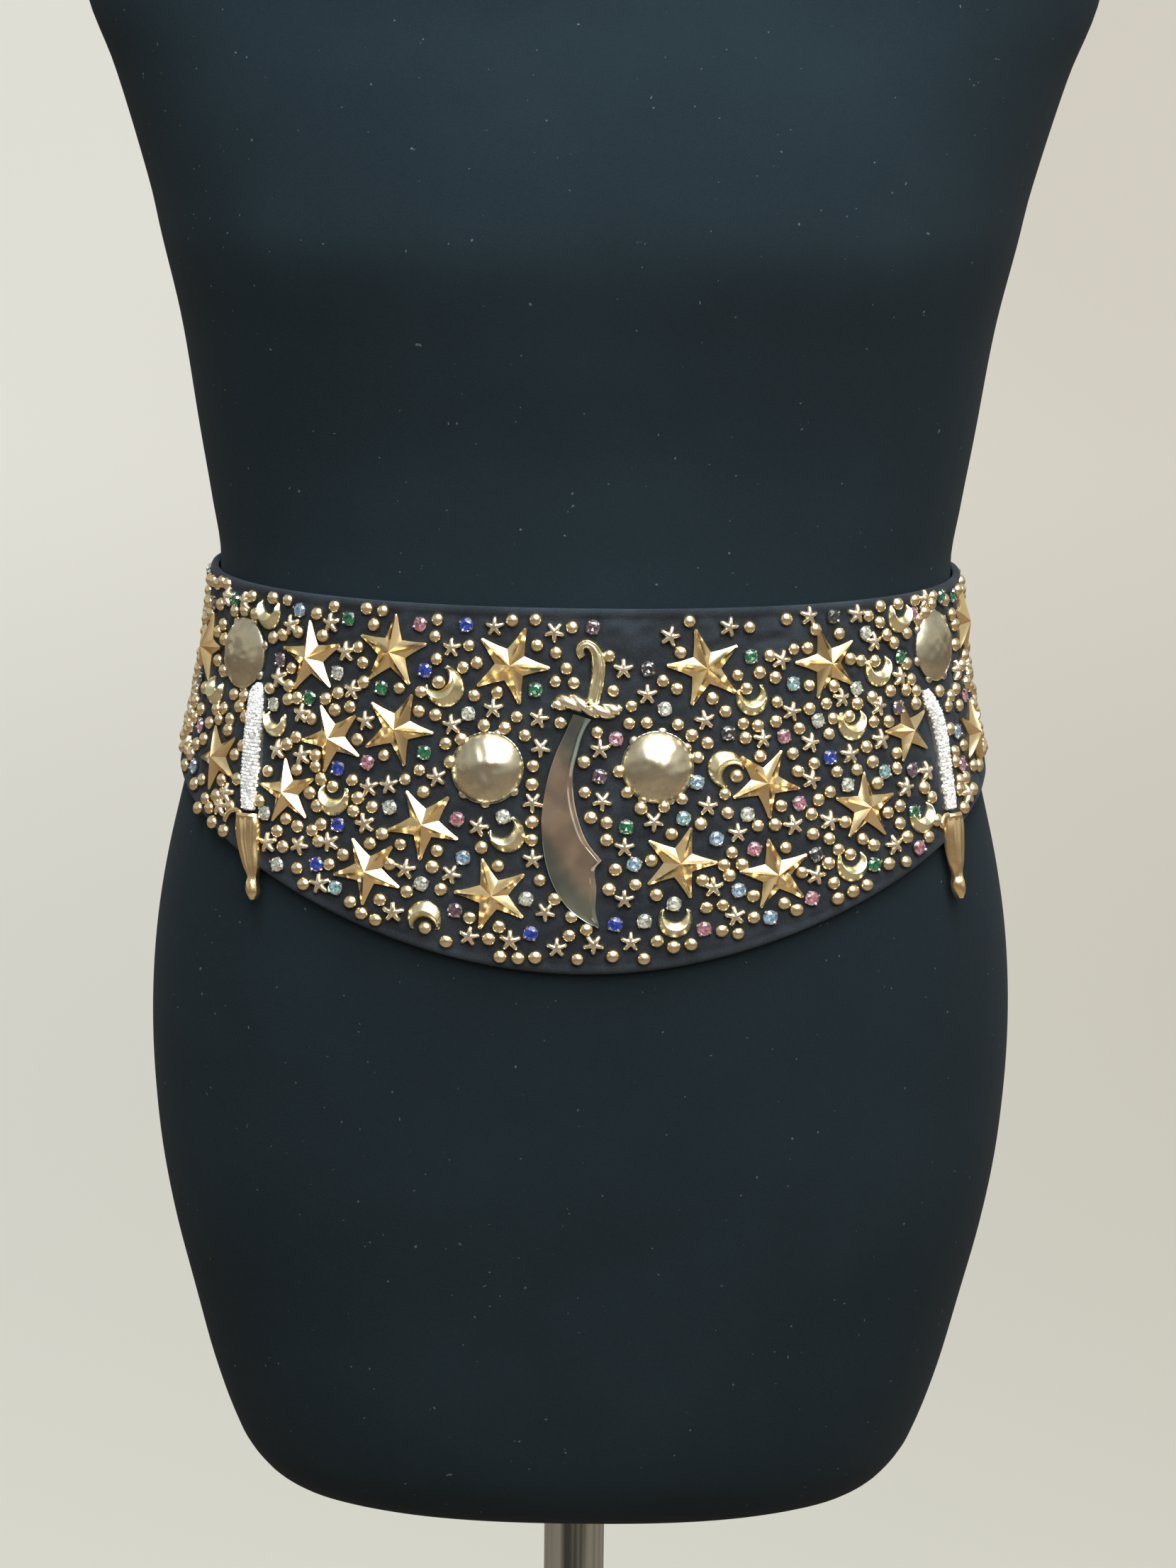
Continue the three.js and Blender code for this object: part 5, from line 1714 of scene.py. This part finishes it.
class BeltSizes(bpy.types.PropertyGroup):
    """Sizes of the small pieces and of the cloth's relief."""

    nailhead: bpy.props.FloatProperty(
        name="Nailhead", description="Diameter of a nailhead", default=0.0054,
        min=0.003, max=0.008, unit="LENGTH")
    small_star: bpy.props.FloatProperty(
        name="Small star", description="Size of a small star from point to point",
        default=0.0084, min=0.005, max=0.012, unit="LENGTH")
    stone: bpy.props.FloatProperty(
        name="Stone", description="Diameter of a stone inside its setting", default=0.0055,
        min=0.003, max=0.008, unit="LENGTH")
    crease_depth: bpy.props.FloatProperty(
        name="Crease depth", description="Depth of the creases, times that in their table",
        default=1.5, min=0.0, max=3.0, subtype="FACTOR")


def colour_property(name, description, default):
    """A colour that a user may change."""
    return bpy.props.FloatVectorProperty(name=name, description=description, subtype="COLOR",
                                         size=4, min=0.0, max=1.0, default=(*default, 1.0))


class BeltColours(bpy.types.PropertyGroup):
    """Colours of the cloth, the metals and the stones."""

    cloth: colour_property("Cloth", "The belt's cloth", (0.021, 0.026, 0.032))
    jersey: colour_property("Jersey", "The dress form's cover", (0.0105, 0.019, 0.0245))
    gold: colour_property("Gold", "Large stars and sheaths", (0.86, 0.68, 0.38))
    pale_gold: colour_property("Pale gold", "Nailheads and press studs", (0.85, 0.71, 0.45))
    olive_gold: colour_property("Olive gold", "Crescents and the grip", (0.8, 0.75, 0.5))
    white_gold: colour_property("White gold", "Small stars and the guard", (0.89, 0.8, 0.59))
    dome: colour_property("Dome", "The large domes", (0.6, 0.56, 0.42))
    blade: colour_property("Blade", "The sword's blade", (0.7, 0.66, 0.55))
    blue: colour_property("Blue", "Deep blue stones", (0.012, 0.06, 0.52))
    pale_blue: colour_property("Pale blue", "Pale blue stones", (0.33, 0.5, 0.68))
    aqua: colour_property("Aqua", "Aqua stones", (0.33, 0.58, 0.58))
    green: colour_property("Green", "Green stones", (0.004, 0.19, 0.07))
    pink: colour_property("Pink", "Pink stones", (0.6, 0.24, 0.31))
    mauve: colour_property("Mauve", "Mauve stones", (0.16, 0.1, 0.13))
    smoke: colour_property("Smoke", "Dark grey stones", (0.05, 0.05, 0.052))
    clear: colour_property("Clear", "Clear stones", (0.68, 0.7, 0.58))
    floor: colour_property("Floor", "The plain floor", (0.72, 0.69, 0.6))


class BELT_OT_form(bpy.types.Operator):
    """Makes the dress form's jersey body"""
    bl_idname = "belt.add_form"
    bl_label = "Dress form"

    def execute(self, context):
        make_form()
        return {"FINISHED"}


class BELT_OT_stand(bpy.types.Operator):
    """Makes the neck cap, pole and base"""
    bl_idname = "belt.add_stand"
    bl_label = "Stand"

    def execute(self, context):
        make_stand()
        return {"FINISHED"}


class BELT_OT_band(bpy.types.Operator):
    """Makes the belt's cloth with its creases"""
    bl_idname = "belt.add_band"
    bl_label = "Belt cloth"

    def execute(self, context):
        make_band()
        return {"FINISHED"}


class BELT_OT_press_studs(bpy.types.Operator):
    """Makes the closing's press studs"""
    bl_idname = "belt.add_press_studs"
    bl_label = "Press studs"

    def execute(self, context):
        make_press_studs()
        return {"FINISHED"}


class BELT_OT_domes(bpy.types.Operator):
    """Makes the four large domes"""
    bl_idname = "belt.add_domes"
    bl_label = "Domes"

    def execute(self, context):
        make_domes()
        return {"FINISHED"}


class BELT_OT_sword(bpy.types.Operator):
    """Makes the curved sword"""
    bl_idname = "belt.add_sword"
    bl_label = "Sword"

    def execute(self, context):
        make_sword()
        return {"FINISHED"}


class BELT_OT_daggers(bpy.types.Operator):
    """Makes the two daggers"""
    bl_idname = "belt.add_daggers"
    bl_label = "Daggers"

    def execute(self, context):
        make_daggers()
        return {"FINISHED"}


class BELT_OT_large_stars(bpy.types.Operator):
    """Makes the large stars"""
    bl_idname = "belt.add_large_stars"
    bl_label = "Large stars"

    def execute(self, context):
        make_large_stars()
        return {"FINISHED"}


class BELT_OT_crescents(bpy.types.Operator):
    """Makes the crescents"""
    bl_idname = "belt.add_crescents"
    bl_label = "Crescents"

    def execute(self, context):
        make_crescents()
        return {"FINISHED"}


class BELT_OT_small_stars(bpy.types.Operator):
    """Makes the small stars"""
    bl_idname = "belt.add_small_stars"
    bl_label = "Small stars"

    def execute(self, context):
        make_small_stars()
        return {"FINISHED"}


class BELT_OT_nailheads(bpy.types.Operator):
    """Makes the nailheads"""
    bl_idname = "belt.add_nailheads"
    bl_label = "Nailheads"

    def execute(self, context):
        make_nailheads()
        return {"FINISHED"}


class BELT_OT_stones(bpy.types.Operator):
    """Makes the stones and their settings"""
    bl_idname = "belt.add_stones"
    bl_label = "Stones"

    def execute(self, context):
        make_stones()
        return {"FINISHED"}


class BELT_OT_stage(bpy.types.Operator):
    """Makes the camera, the soft light and the plain floor"""
    bl_idname = "belt.add_stage"
    bl_label = "Stage"

    def execute(self, context):
        add_camera()
        for lamp in LAMPS:
            add_lamp(*lamp)
        add_floor()
        set_world()
        context.scene.view_settings.view_transform = "Standard"
        return {"FINISHED"}


OPERATORS = (
    BELT_OT_form, BELT_OT_stand, BELT_OT_band, BELT_OT_press_studs, BELT_OT_domes, BELT_OT_sword,
    BELT_OT_daggers, BELT_OT_large_stars, BELT_OT_crescents, BELT_OT_small_stars,
    BELT_OT_nailheads, BELT_OT_stones, BELT_OT_stage,
)


class BELT_PT_panel(bpy.types.Panel):
    """Lists the belt's pieces, sizes and colours"""
    bl_idname = "BELT_PT_panel"
    bl_label = "Studded belt"
    bl_space_type = "VIEW_3D"
    bl_region_type = "UI"
    bl_category = "Belt"

    def draw(self, context):
        column = self.layout.column()
        for operator in OPERATORS:
            column.operator(operator.bl_idname)
        for group in (context.scene.belt_sizes, context.scene.belt_colours):
            for name in group.__annotations__:
                column.prop(group, name)


CLASSES = (BeltSizes, BeltColours, *OPERATORS, BELT_PT_panel)


def register():
    """Makes the add-on's classes and the scene's settings known to Blender."""
    for item in CLASSES:
        bpy.utils.register_class(item)
    bpy.types.Scene.belt_sizes = bpy.props.PointerProperty(type=BeltSizes)
    bpy.types.Scene.belt_colours = bpy.props.PointerProperty(type=BeltColours)


def unregister():
    """Takes them away again."""
    del bpy.types.Scene.belt_colours
    del bpy.types.Scene.belt_sizes
    for item in reversed(CLASSES):
        bpy.utils.unregister_class(item)


def main():
    """Makes the stage and every piece."""
    register()
    bpy.ops.belt.add_stage()
    bpy.ops.belt.add_form()
    bpy.ops.belt.add_stand()
    bpy.ops.belt.add_band()
    bpy.ops.belt.add_press_studs()
    bpy.ops.belt.add_domes()
    bpy.ops.belt.add_sword()
    bpy.ops.belt.add_daggers()
    bpy.ops.belt.add_large_stars()
    bpy.ops.belt.add_crescents()
    bpy.ops.belt.add_small_stars()
    bpy.ops.belt.add_nailheads()
    bpy.ops.belt.add_stones()


if __name__ == "__main__":
    main()
